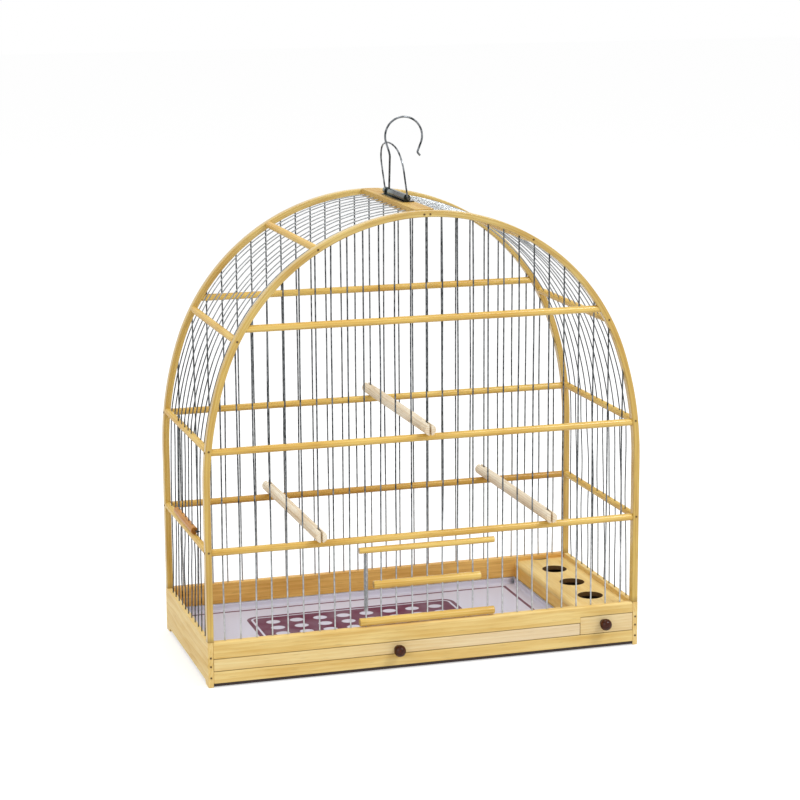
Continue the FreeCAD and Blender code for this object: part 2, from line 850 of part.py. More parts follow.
def hanger_bail():
    """Arched wire whose feet stand on the ends of the pin."""
    quarter = math.pi / 2
    half_edges = bail_arch.arc(0.0, bail_corner_turn, 0.0) + bail_arch.arc(bail_corner_turn, quarter, 0.0)
    leg = Part.makeLine(vec(bail_half, 0, 0), vec(bail_half, 0, bail_spring_height))
    right = [leg] + half_edges
    left = [mirrored(edge) for edge in right]
    chain = Part.__sortEdges__(right + left)
    wire = swept_tube(chain, bail_wire_diameter)
    wire.rotate(vec(0, 0, 0), Z_AXIS, math.degrees(quarter))
    wire.translate(vec(0, 0, pin_axis_height))
    return leaned(wire).cut(hanger_pin()).Solids[0]


def rounded_chain(points, radii):
    """Straight runs through points, with an arc of a given radius at each inner point."""
    edges = []
    start = points[0]
    for before, corner, after, radius in zip(points, points[1:], points[2:], radii):
        back = (before - corner).normalize()
        ahead = (after - corner).normalize()
        half = back.getAngle(ahead) / 2
        trim = radius / math.tan(half)
        bisector = (back + ahead).normalize()
        middle = corner + bisector * (radius / math.sin(half) - radius)
        edges.append(Part.makeLine(start, corner + back * trim))
        edges.append(Part.Arc(corner + back * trim, middle, corner + ahead * trim).toShape())
        start = corner + ahead * trim
    edges.append(Part.makeLine(start, points[-1]))
    return edges


def hanger_hook():
    """Hook wire: a shank from the pin to the top of the bail, then a round hook with a kicked tip."""
    centre = vec(hook_ring_x, 0, pin_axis_height + hook_ring_height)

    def on_ring(angle):
        return centre + vec(hook_ring_radius * math.cos(angle), 0, hook_ring_radius * math.sin(angle))

    leave = math.pi + hook_leave_turn
    tip = -hook_tip_turn
    leave_along = vec(-math.sin(leave), 0, math.cos(leave))
    tip_along = vec(math.sin(tip), 0, -math.cos(tip))
    bend = on_ring(leave) + leave_along * hook_leave_run
    foot = vec(0, hook_foot_y, pin_axis_height)
    shank = rounded_chain([foot, bend, on_ring(leave)], [hook_shank_bend])
    over = Part.Arc(on_ring(leave), on_ring((leave + tip) / 2), on_ring(tip)).toShape()
    corner = on_ring(tip) + tip_along * hook_tip_run
    spread = math.atan2(tip_along.z, tip_along.x) + hook_kick_turn
    end = corner + vec(math.cos(spread), 0, math.sin(spread)) * hook_kick_run
    kick = rounded_chain([on_ring(tip), corner, end], [hook_kick_radius])
    wire = swept_tube(shank + [over] + kick, hook_wire_diameter)
    return wire.cut(hanger_pin()).Solids[0]


def save(name, shape):
    """Write one node and say what it holds."""
    solids = shape.Solids
    bad = [index for index, solid in enumerate(solids) if not solid.isValid()]
    note = " NOT VALID %s" % bad if bad else ""
    print("%-24s %3d solids %12.1f mm3%s" % (name, len(solids), sum(s.Volume for s in solids), note))
    shape.exportStep("parts/%s.step" % name)


def build_base(nail_holes):
    side_holes = {1: side_wire_set(False, wire_fit), -1: side_wire_set(True, wire_fit)}
    save("left_base_panel", side_panel(-1, side_holes[-1] + nail_holes))
    save("right_base_panel", side_panel(1, side_holes[1] + nail_holes))
    save("back_base_board", back_board(face_wires(wire_plane, wire_fit)))
    save("front_top_strip", front_strip(face_wires(-wire_plane, wire_fit)))
    save("front_bottom_rail", front_bottom_rail())
    save("base_bottom_sheet", bottom_sheet())
    save("drawer_runners", drawer_runners())
    save("seed_divider", seed_divider())
    save("seed_bench", seed_bench())


def build_frame(nail_holes):
    inside = inside_of_arch()
    front_holes = face_wires(-wire_plane, wire_fit)
    rear_holes = face_wires(wire_plane, wire_fit)
    save("front_arch", cut_all(arch_strip(-half_depth), front_holes + nail_holes))
    save("rear_arch", cut_all(arch_strip(arch_back), rear_holes + nail_holes))
    for name, height in rod_heights.items():
        save("front_rod_" + name, face_rod(-wire_plane, height, inside, front_holes + nail_holes))
        save("rear_rod_" + name, face_rod(wire_plane, height, inside, rear_holes + nail_holes))
    left_holes = side_wire_set(True, wire_fit) + roof_wire_set(True, wire_fit)
    right_holes = side_wire_set(False, wire_fit) + roof_wire_set(False, wire_fit)
    for name in RAIL_NAMES:
        extra = side_door_wire_set(hinge_clearance) if name == "mid" else []
        save("left_rail_" + name, side_rail(-1, name, left_holes + nail_holes + extra))
        save("right_rail_" + name, side_rail(1, name, right_holes + nail_holes))
    screws = [screw_hole(place, wire_fit) for place in screw_places()]
    roof_holes = roof_wire_set(True, wire_fit) + roof_wire_set(False, wire_fit)
    save("ridge_board", ridge_board(roof_holes + nail_holes + screws))
    save("frame_nails", group(nail_set(0)))


def build_wires():
    save("front_wires", group(face_wires(-wire_plane, 0)))
    save("rear_wires", group(face_wires(wire_plane, 0)))
    save("left_side_wires", group(side_wire_set(True, 0)))
    save("right_side_wires", group(side_wire_set(False, 0)))
    save("left_roof_wires", group(roof_wire_set(True, 0)))
    save("right_roof_wires", group(roof_wire_set(False, 0)))


def build_doors():
    save("door_top_bar", door_end_bar(door_top_height, door_top_bar_diameter))
    save("door_mid_bar", door_mid_bar())
    save("door_bottom_bar", door_end_bar(door_bottom_height, door_bottom_bar_diameter))
    save("door_wires", group(door_wire_set(0)))
    save("door_spring", door_spring())
    save("side_door_bar", side_door_bar())
    save("side_door_wires", group(side_door_wire_set(0)))
    save("side_door_loops", group([side_door_loop(end, 0) for end in (1, -1)]))


def build_drawers():
    save("tray_front", tray_front(knob_spigot(tray_knob_x, tray_knob_height, wire_fit)))
    save("tray_pan", tray_pan())
    save("tray_liner", tray_liner())
    save("tray_knob", knob(tray_knob_x, tray_knob_height))
    save("seed_drawer_front", seed_front(knob_spigot(seed_knob_x, seed_knob_height, wire_fit)))
    save("seed_drawer_box", seed_box())
    save("seed_drawer_knob", knob(seed_knob_x, seed_knob_height))


def build_perches_and_hanger():
    save("upper_perch", perch(upper_perch_space, mid_rod_height))
    save("lower_left_perch", perch(lower_left_perch_space, lower_rod_height))
    save("lower_right_perch", perch(lower_right_perch_space, lower_rod_height))
    save("hanger_bracket", hanger_bracket())
    save("hanger_screws", hanger_screws())
    save("hanger_pin", hanger_pin())
    save("hanger_bail", hanger_bail())
    save("hanger_hook", hanger_hook())


def main():
    os.makedirs("parts", exist_ok=True)
    nail_holes = nail_set(wire_fit)
    build_base(nail_holes)
    build_frame(nail_holes)
    build_wires()
    build_doors()
    build_drawers()
    build_perches_and_hanger()


main()
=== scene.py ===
"""Dressed model of an arched bird cage: base, arches, dowels, wires, doors, trays, perches and hanger."""
import math

import bmesh
import bpy
import numpy as np
from mathutils import Matrix, Vector


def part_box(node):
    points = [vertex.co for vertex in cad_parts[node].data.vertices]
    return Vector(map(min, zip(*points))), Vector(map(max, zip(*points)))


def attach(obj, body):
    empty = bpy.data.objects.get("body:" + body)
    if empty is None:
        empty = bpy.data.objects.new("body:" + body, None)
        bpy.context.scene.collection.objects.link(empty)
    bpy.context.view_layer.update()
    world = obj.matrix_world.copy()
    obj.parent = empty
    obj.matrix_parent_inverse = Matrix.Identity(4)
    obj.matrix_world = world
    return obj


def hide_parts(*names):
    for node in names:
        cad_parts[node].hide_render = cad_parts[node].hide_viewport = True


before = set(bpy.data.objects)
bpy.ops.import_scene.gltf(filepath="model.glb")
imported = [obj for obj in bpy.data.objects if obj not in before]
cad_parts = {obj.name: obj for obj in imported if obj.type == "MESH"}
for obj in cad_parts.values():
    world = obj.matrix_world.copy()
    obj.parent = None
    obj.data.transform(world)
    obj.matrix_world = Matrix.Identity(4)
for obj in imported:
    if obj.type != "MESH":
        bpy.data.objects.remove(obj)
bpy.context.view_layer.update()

bl_info = {
    "name": "Arched bird cage",
    "version": (1, 0, 0),
    "blender": (4, 5, 0),
    "location": "View3D > Sidebar > Bird cage",
    "description": "Dresses the packed bird cage with turned, bent and wound pieces and their finishes",
    "category": "Object",
}

MM = 0.001

# Line of the bent arches, as in the part: straight legs, a haunch arc, one arc over the top
ARCH_SPRING = 218 * MM
HAUNCH_RADIUS = 395 * MM
HAUNCH_TURN = math.radians(18.5)
ARCH_THICKNESS = 7 * MM
ROOF_WIRE_INSET = 4.2 * MM
RIDGE_SEAT_TURN = math.radians(89.4)

# Feet that the side panels make: length of each and height of the relief between them
FOOT_LENGTH = 14 * MM
FOOT_RELIEF = 4.3 * MM

# Wires of the faces, counted from the middle, and how deep they sit in boards, thin bars and mid rails
FRONT_PITCH = 17.67 * MM
FRONT_WIRES = 13
DOOR_SPACES = 4
SIDE_PITCH = 17.33 * MM
SIDE_WIRES = 5
SIDE_DOOR_SPACES = 3
WIRE_DIAMETER = 1.8 * MM
SIDE_WIRE_DIAMETER = 1.4 * MM
WIRE_SEAT = 8 * MM
BAR_SEAT = 4 * MM
MID_SEAT = 5 * MM
SIDE_DOOR_OFFSET = 2.5 * MM
GUIDING_WIRES = (-7, -4, 0, 4, 8)

# Fineness of the meshes: stations along each kind of piece, and sides of the round ones
WIRE_SIDES = 8
WIRE_STATIONS = 22
ROOF_STATIONS = 72
BAR_SIDES = 24
BAR_STATIONS = 40
BOARD_STATIONS = 12
STRIP_STATIONS = 14
EASE_STATIONS = 4
CORNER_STATIONS = 5
ARCH_STATIONS = 161
LEG_STATIONS = 24
KNOB_SIDES = 36
BALL_STATIONS = 26
SPRING_TURN_STATIONS = 20
PAPER_STATIONS = (84, 44)

# Angles in degrees below which faces are shaded smooth
PANEL_SMOOTH = 30.0
KNOB_SMOOTH = 35.0
PLAIN_SMOOTH = 40.0
BOARD_SMOOTH = 50.0
WIRE_SMOOTH = 80.0

# Turned bars: the share by which the radius swells, and the sines of its swelling, each with its share,
# its turn for a metre of the bar and its start for a metre of the log
BAR_SWELL = 0.012
BAR_WAVES = ((1.0, 23, 90), (0.6, 57, 50))

# Torsion spring of the front door
SPRING_TURNS = 48
SPRING_DIAMETER = 4.9 * MM
SPRING_WIRE = 0.9 * MM
SPRING_GAP = 0.46 * MM

# Knob's neck, as reach out of the front and radius, and the part of a circle that its ball turns through
NECK_REACH = np.array((-2.0, 0.0, 0.2, 0.9, 1.3, 1.7, 2.1)) * MM
NECK_RADIUS = np.array((2.4, 4.0, 4.3, 4.3, 4.0, 3.3, 3.0)) * MM
BALL_TURN = (math.radians(-62), math.radians(89))

# Row of feeding holes in the seed bench: x, pitch and radius
SEED_HOLES = (214 * MM, 58 * MM, 14.5 * MM)

# Gap between the seed drawer's front and the strip, and between the paper and the pan's outside
SEED_FRONT_GAP = 0.3 * MM
PAPER_ROOM = 1.4 * MM

# Print on the paper: middle and half size of the panel, half size of the frame, and spacing of the dots
PANEL_MIDDLE = (-42 * MM, 4 * MM, 0)
PANEL_HALF = (112 * MM, 46 * MM, 1)
FRAME_HALF = (194 * MM, 92 * MM, 1)
DOT_PITCH = (28 * MM, 23 * MM, 1)

# Where each board is cut from its log, in metres: along it and two ways across it
TRAY_GRAIN = 2.2
BOARD_GRAIN = {
    "left_base_panel": (0.13, 0.011, 0.02),
    "right_base_panel": (0.71, 0.011, 0.02),
    "back_base_board": (0.4, 0.01, 0.013),
    "front_bottom_rail": (1.3, -0.006, 0.004),
    "front_top_strip": (0.2, 0.004, -0.01),
    "front_arch": (0.0, 0.006, 0.003),
    "rear_arch": (2.1, 0.006, 0.003),
    "ridge_board": (0.5, 0.02, 0.01),
    "tray_front": (TRAY_GRAIN, 0.004, 0.012),
    "seed_drawer_front": (TRAY_GRAIN + 0.18, 0.0, 0.02),
}

# Camera of the photograph
CAMERA_PLACE = (-0.74595, -2.45582, 0.81593)
CAMERA_YAW = 0.296
CAMERA_PITCH = 0.206
CAMERA_ROLL = -0.006
CAMERA_LENS = 104.03
SENSOR_WIDTH = 36.0

# Lamps, by the name of their power: size and place in metres
LAMPS = {"key": (0.9, (1.4, -1.5, 2.4)), "fill": (2.0, (-2.3, -1.5, 1.5)), "top": (1.0, (-0.2, 0.5, 2.4))}
LAMPS_LOOK_AT = (0, 0, 0.25)
FLOOR_REACH = 12.0
WHITE = (1, 1, 1, 1)

RODS = ["%s_rod_%s" % (face, level) for face in ("front", "rear") for level in ("lower", "mid", "upper")]
RAILS = ["%s_rail_%s" % (side, level) for side in ("left", "right")
         for level in ("lower", "mid", "upper", "shoulder")]
DARKER_RODS = ("rear_rod_lower",)

WAYS = np.eye(3)
X_WAY, Y_WAY, Z_WAY = WAYS

# Grains: the wood that each is on, its pale early part and its dark late part
GRAINS = {
    "pine": ("boards", "#efd591", "#d3a855"),
    "pale": ("tray front", "#efd99e", "#dcb56c"),
    "paling": ("tray front at its pale end", "#efddba", "#ddc193"),
    "rear": ("darker rear rods", "#d2a84b", "#b37c2a"),
    "bent": ("arches", "#dabc67", "#b48837"),
    # Arches near their top: a paler copy of the arches' grain, painted highlight on the tops
    "bent_highlight": ("arches near their top", "#ddc57c", "#b68f43"),
    "ridge": ("ridge board", "#cbaa5f", "#b08234"),
    # Inner boards and the seed bench's wall: darker, more orange copies of the pine, painted shade inside the
    # cage
    "aged": ("inner boards", "#ecbf6e", "#c2893b"),
    "wall": ("seed bench's wall", "#f2cb72", "#d09a44"),
    "panel": ("side panels", "#efd594", "#d9b263"),
    "dowel": ("rods", "#e9c970", "#c69638"),
    "perch": ("raw perches", "#f6eeda", "#d8bf9b"),
    "stain": ("stained bar of the side door", "#d3953f", "#9a5a22"),
}

# Other colours, with what has them
TONES = {
    # Walls of the feeding holes: painted shade inside the holes
    "hole_shade": ("Walls of the feeding holes", "#4a2814"),
    "knob": ("Stained and lacquered knobs", "#361304"),
    # Wires: the bright tone low down is painted highlight, the dark tone higher up painted shade; the
    # hanger's dull spells use the dark tone too
    "wire": ("Bright zinc of the wires, low down", "#c2c6c9"),
    "wire_dull": ("Dulled zinc of the wires, higher up", "#2f3335"),
    # Thin wires: bright over the roof as painted highlight, dark on the sides as painted shade
    "thin_wire": ("Bright zinc of the roof's thin wires", "#a6aaac"),
    "thin_wire_shaded": ("Dulled zinc of the sides' thin wires", "#2c3032"),
    "spring": ("Plated steel of the door's spring", "#b9bdc0"),
    "spring_dull": ("Dulled plating of the door's spring", "#93979a"),
    "hanger": ("Bright wire of the hanger", "#8b8f93"),
    "bracket": ("Blued steel of the ridge bracket", "#0d0f11"),
    # Grey at the bracket's back: painted highlight
    "bracket_highlight": ("Worn steel of the ridge bracket", "#7b8787"),
    "nail": ("Dull heads of the nails", "#6b5334"),
    "nail_rust": ("Rust on the nails", "#6d5a42"),
    "pan": ("Sheet metal of the tray's pan", "#e2e5ea"),
    "pan_dull": ("Dulled sheet metal of the pan", "#c3c6ca"),
    "paper": ("Ground of the tray's paper", "#cfcddb"),
    "paper_print": ("Printed panel of the tray's paper", "#5f1537"),
    # Nearly black sheet under the base: painted shade
    "hardboard": ("Tempered hardboard under the base", "#1f0e07"),
    # Inside of the seed drawer: painted shade, seen through the holes
    "seed_box_shade": ("Dark inside of the seed drawer", "#4c3726"),
}


def linear(code):
    """Linear RGBA of an sRGB hex colour."""
    parts = np.array([int(code[i:i + 2], 16) for i in (1, 3, 5)]) / 255
    light = np.where(parts <= 0.04045, parts / 12.92, ((parts + 0.055) / 1.055) ** 2.4)
    return (*light.tolist(), 1.0)


def node(tree, kind, inputs=None, out=0, **settings):
    """Add one shader node and return one of its outputs.

    Settings are the node's own options, and inputs are its sockets' values or links.
    """
    made = tree.nodes.new("ShaderNode" + kind)
    for key, value in settings.items():
        setattr(made, key, value)
    for key, value in (inputs or {}).items():
        if isinstance(value, bpy.types.NodeSocket):
            tree.links.new(value, made.inputs[key])
        else:
            made.inputs[key].default_value = value
    return made.outputs[out] if made.outputs else None


def blank(name):
    """New material with an empty tree."""
    made = bpy.data.materials.new(name)
    made.use_nodes = True
    made.node_tree.nodes.clear()
    return made, made.node_tree


def colour_property(label, about, code):
    return bpy.props.FloatVectorProperty(name=label, description=about, subtype="COLOR", size=4,
                                         min=0.0, max=1.0, default=linear(code))


def length_property(label, about, value):
    return bpy.props.FloatProperty(name=label, description=about, default=value, min=0.0, unit="LENGTH",
                                   precision=5)


def light_property(label, about, value):
    return bpy.props.FloatProperty(name=label, description=about, default=value, min=0.0)


def colour_properties():
    """Two properties for each grain and one for each other colour."""
    made = {}
    for key, (where, early, late) in GRAINS.items():
        label = key.replace("_", " ").capitalize()
        made[key + "_early"] = colour_property(label + ", early wood", "Pale grain of the " + where, early)
        made[key + "_late"] = colour_property(label + ", late wood", "Dark grain of the " + where, late)
    for key, (about, code) in TONES.items():
        made[key] = colour_property(key.replace("_", " ").capitalize(), about, code)
    return made


class CageSizes(bpy.types.PropertyGroup):
    """Small sizes of the dressed pieces."""
    board_ease: length_property("Board ease", "Rounding of the planed boards' edges", 0.8 * MM)
    arch_ease: length_property("Arch ease", "Rounding of the bent arches' edges", 1.3 * MM)
    strip_round: length_property("Strip round", "Rounding of the front strip's upper edges", 2.5 * MM)
    bar_ease: length_property("Bar ease", "Rounding of the round bars' ends", 0.7 * MM)
    wire_bow: length_property("Wire bow", "How far a wire wanders from its straight line", 0.45 * MM)
    paper_wave: length_property("Paper wave", "Height of the waves in the tray's paper", 0.5 * MM)
    paper_margin: length_property("Paper margin", "How far the paper's margins stand up at the rim", 7 * MM)
    paper_bend: length_property("Paper bend", "Radius of the bend where the margins turn up", 2.5 * MM)
    paper_thickness: length_property("Paper thickness", "Thickness of the tray's paper", 0.3 * MM)


class CageColours(bpy.types.PropertyGroup):
    """Colours of the finishes."""
    __annotations__ = colour_properties()


class CageStage(bpy.types.PropertyGroup):
    """Light and floor."""
    floor: colour_property("Floor", "Pale studio floor", "#d4d4d4")
    floor_lift: light_property("Floor lift", "White added where the floor is seen", 0.5)
    world_strength: light_property("Sky", "Light of the white room", 0.74)
    key_power: light_property("Key", "Power of the soft key lamp in watts", 36.0)
    top_power: light_property("Top", "Power of the lamp overhead in watts", 12.0)
    fill_power: light_property("Fill", "Power of the wide fill lamp in watts", 18.0)


def colour(key):
    """Colour of a name, as the user has set it."""
    return tuple(getattr(bpy.context.scene.cage_colours, key))


def scaled(tone, times):
    """Colour made lighter or darker."""
    return tuple(min(1.0, times * part) for part in tone[:3]) + (1.0,)


def cells(*sizes):
    """Pattern scale along each axis, from the sizes of the pattern's cells in millimetres."""
    return tuple(1 / (size * MM) for size in sizes)


def rows(x, y, z):
    """Points from their coordinates, each an array or one number for all."""
    return np.stack(np.broadcast_arrays(x, y, z), axis=-1)


def box(node_name):
    """Two corners of a CAD node's box."""
    return tuple(np.array(corner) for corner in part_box(node_name))


def middle_of(node_name):
    """Middle of a CAD node's box."""
    low, high = box(node_name)
    return (low + high) / 2


def place_mesh(name, made, node_name, body, material, smooth=PLAIN_SMOOTH):
    """Piece that replaces a CAD node, riding on a body and shaded smooth below an angle in degrees.

    What was made holds the points, the faces and, for wood, the grain: each point's place in the
    straightened wood and whether it lies on a cut end or on an edge painted with shade beside a narrow gap.
    """
    mesh = bpy.data.meshes.new(name)
    mesh.from_pydata(made[0].reshape(-1, 3).tolist(), [], made[1])
    if len(made) > 2:
        layer = mesh.attributes.new("grain", "FLOAT_VECTOR", "POINT")
        layer.data.foreach_set("vector", np.asarray(made[2][:, :3], dtype=np.float32).ravel())
        # Dark marks: cut ends as end grain, and painted shade along edges beside narrow gaps
        ends = mesh.attributes.new("sawn", "FLOAT", "POINT")
        ends.data.foreach_set("value", np.asarray(made[2][:, 3], dtype=np.float32))
    mesh.shade_smooth()
    mesh.set_sharp_from_angle(angle=math.radians(smooth))
    mesh.materials.append(finish(material))
    mesh.update()
    piece = bpy.data.objects.new(name, mesh)
    bpy.context.scene.collection.objects.link(piece)
    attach(piece, body)
    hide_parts(node_name)
    return piece


def carried(paths, across, up, outlines, shift=(0.0, 0.0, 0.0)):
    """Outlines carried along paths: point = path + a * across + b * up, for each outline point (a, b).

    paths is strands x stations x 3 or one strand of them, outlines is strands or 1 x stations or 1 x
    points x 2, and across times up points along the path, so that a counter-clockwise outline faces
    outwards. Returns points, faces with both ends closed, and for the grain each point's straightened
    place (length, a, b) with a fourth number that is one on the sawn ends.
    """
    paths = np.asarray(paths)
    if paths.ndim < 3:
        paths = paths[None]
    strands, stations = paths.shape[:2]
    outlines = np.asarray(outlines, dtype=float)
    while outlines.ndim < 4:
        outlines = outlines[None]
    count = outlines.shape[2]
    outlines = np.broadcast_to(outlines, (strands, stations, count, 2))
    across = np.broadcast_to(across, (strands, stations, 3))[:, :, None, :]
    up = np.broadcast_to(up, (strands, stations, 3))[:, :, None, :]
    points = paths[:, :, None, :] + outlines[..., :1] * across + outlines[..., 1:] * up
    run = np.linalg.norm(np.diff(paths, axis=1), axis=2)
    length = np.concatenate([np.zeros((strands, 1)), np.cumsum(run, axis=1)], axis=1)
    length = np.broadcast_to(length[:, :, None, None], outlines[..., :1].shape)
    sawn = np.zeros((strands, stations, count, 1))
    sawn[:, (0, -1)] = 1.0
    grain = np.concatenate([np.concatenate([length, outlines], axis=3) + np.asarray(shift), sawn], axis=3)
    index = np.arange(strands * stations * count).reshape(strands, stations, count)
    turned = np.roll(index, -1, axis=2)
    sides = np.stack([index[:, :-1], turned[:, :-1], turned[:, 1:], index[:, 1:]], axis=-1).reshape(-1, 4)
    caps = np.concatenate([index[:, 0, ::-1], index[:, -1]])
    return points.reshape(-1, 3), sides.tolist() + caps.tolist(), grain.reshape(-1, 4)


def circle(radii, sides):
    """Round outlines, one for each radius: (r cos angle, r sin angle)."""
    angle = np.linspace(0, 2 * math.pi, sides, endpoint=False)
    ring = np.stack([np.cos(angle), np.sin(angle)], axis=-1)
    return np.atleast_1d(radii)[:, None, None] * ring


def rounded_rectangle(low, high, radii, inset):
    """Rectangular outlines from low to high (stations x 2), with a radius at each corner and an inset.

    Each corner is a quarter circle of its radius about a centre set in from the corner, and the corners
    go round counter-clockwise from the lower right one. An inset moves every side inwards.
    """
    inset = np.atleast_1d(inset)[:, None]
    low = np.atleast_2d(low) + inset
    high = np.atleast_2d(high) - inset
    signs = np.array(((1, -1), (1, 1), (-1, 1), (-1, -1)))
    starts = np.array((-0.5, 0.0, 0.5, 1.0)) * math.pi
    angle = starts[:, None] + np.linspace(0, math.pi / 2, CORNER_STATIONS)
    radius = np.asarray(radii, dtype=float)
    corner = np.where(signs > 0, high[:, None, :], low[:, None, :])
    centre = corner - signs * radius[:, None]
    ring = np.stack([np.cos(angle), np.sin(angle)], axis=-1) * radius[:, None, None]
    return (centre[:, :, None, :] + ring).reshape(len(inset), -1, 2)


def eased(length, ease, inner):
    """Stations along a piece and how far its outline is drawn in there, for two ends rounded by an ease.

    Near each end the outline is drawn in as a quarter circle of the ease's radius asks.
    """
    turn = np.linspace(0, math.pi / 2, EASE_STATIONS)
    near = ease * (1 - np.cos(turn))
    drawn = ease * (1 - np.sin(turn))
    middle = np.linspace(ease, length - ease, inner)[1:-1]
    stations = np.concatenate([near, middle, length - near[::-1]])
    insets = np.concatenate([drawn, np.zeros(len(middle)), drawn[::-1]])
    return stations, insets


def wander(rng, strands, stations, reach):
    """Smooth wandering of strands that starts and ends at nothing: a sum of four sines of the run."""
    share = np.linspace(0, 1, stations)
    order = np.arange(1, 5)
    waves = np.sin(math.pi * order[:, None] * share)
    sizes = rng.normal(size=(strands, 4)) * reach / order
    return sizes @ waves


def arch_turns(turn):
    """Centre and radius of the arch's outer line where it has turned by an angle, from upright at zero.

    The right half turns by up to a right angle: about the haunch's centre first, about the middle line after.
    """
    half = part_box("front_arch")[1][0]
    join = half - HAUNCH_RADIUS + HAUNCH_RADIUS * math.cos(HAUNCH_TURN)
    crown = join / math.cos(HAUNCH_TURN)
    crown_z = ARCH_SPRING + (HAUNCH_RADIUS - crown) * math.sin(HAUNCH_TURN)
    haunch = turn < HAUNCH_TURN
    centre_x = np.where(haunch, half - HAUNCH_RADIUS, 0.0)
    centre_z = np.where(haunch, ARCH_SPRING, crown_z)
    return centre_x, centre_z, np.where(haunch, HAUNCH_RADIUS, crown)


def arch_line(turns, inset):
    """Points and outward ways of the arch at an inset, for turns from zero to half a circle.

    Past a right angle the left half mirrors the right one.
    """
    mirrored = np.where(turns > math.pi / 2, math.pi - turns, turns)
    centre_x, centre_z, radius = arch_turns(mirrored)
    x = centre_x + (radius - inset) * np.cos(mirrored)
    z = centre_z + (radius - inset) * np.sin(mirrored)
    x = np.where(turns > math.pi / 2, -x, x)
    return rows(x, 0.0, z), rows(np.cos(turns), 0.0, np.sin(turns))


def mid_rail():
    """Height of the mid rails' axis, and the turn of the roof wires' line there."""
    height = middle_of("right_rail_mid")[2]
    return height, math.asin((height - ARCH_SPRING) / (HAUNCH_RADIUS - ROOF_WIRE_INSET))


def side_line():
    """Foot and head (x, z) of the right side's leaning wires."""
    height, turn = mid_rail()
    head = arch_line(np.array([turn]), ROOF_WIRE_INSET)[0][0]
    foot_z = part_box("right_base_panel")[1][2] - WIRE_SEAT
    return np.array((middle_of("right_base_panel")[0], foot_z)), np.array((head[0], height))


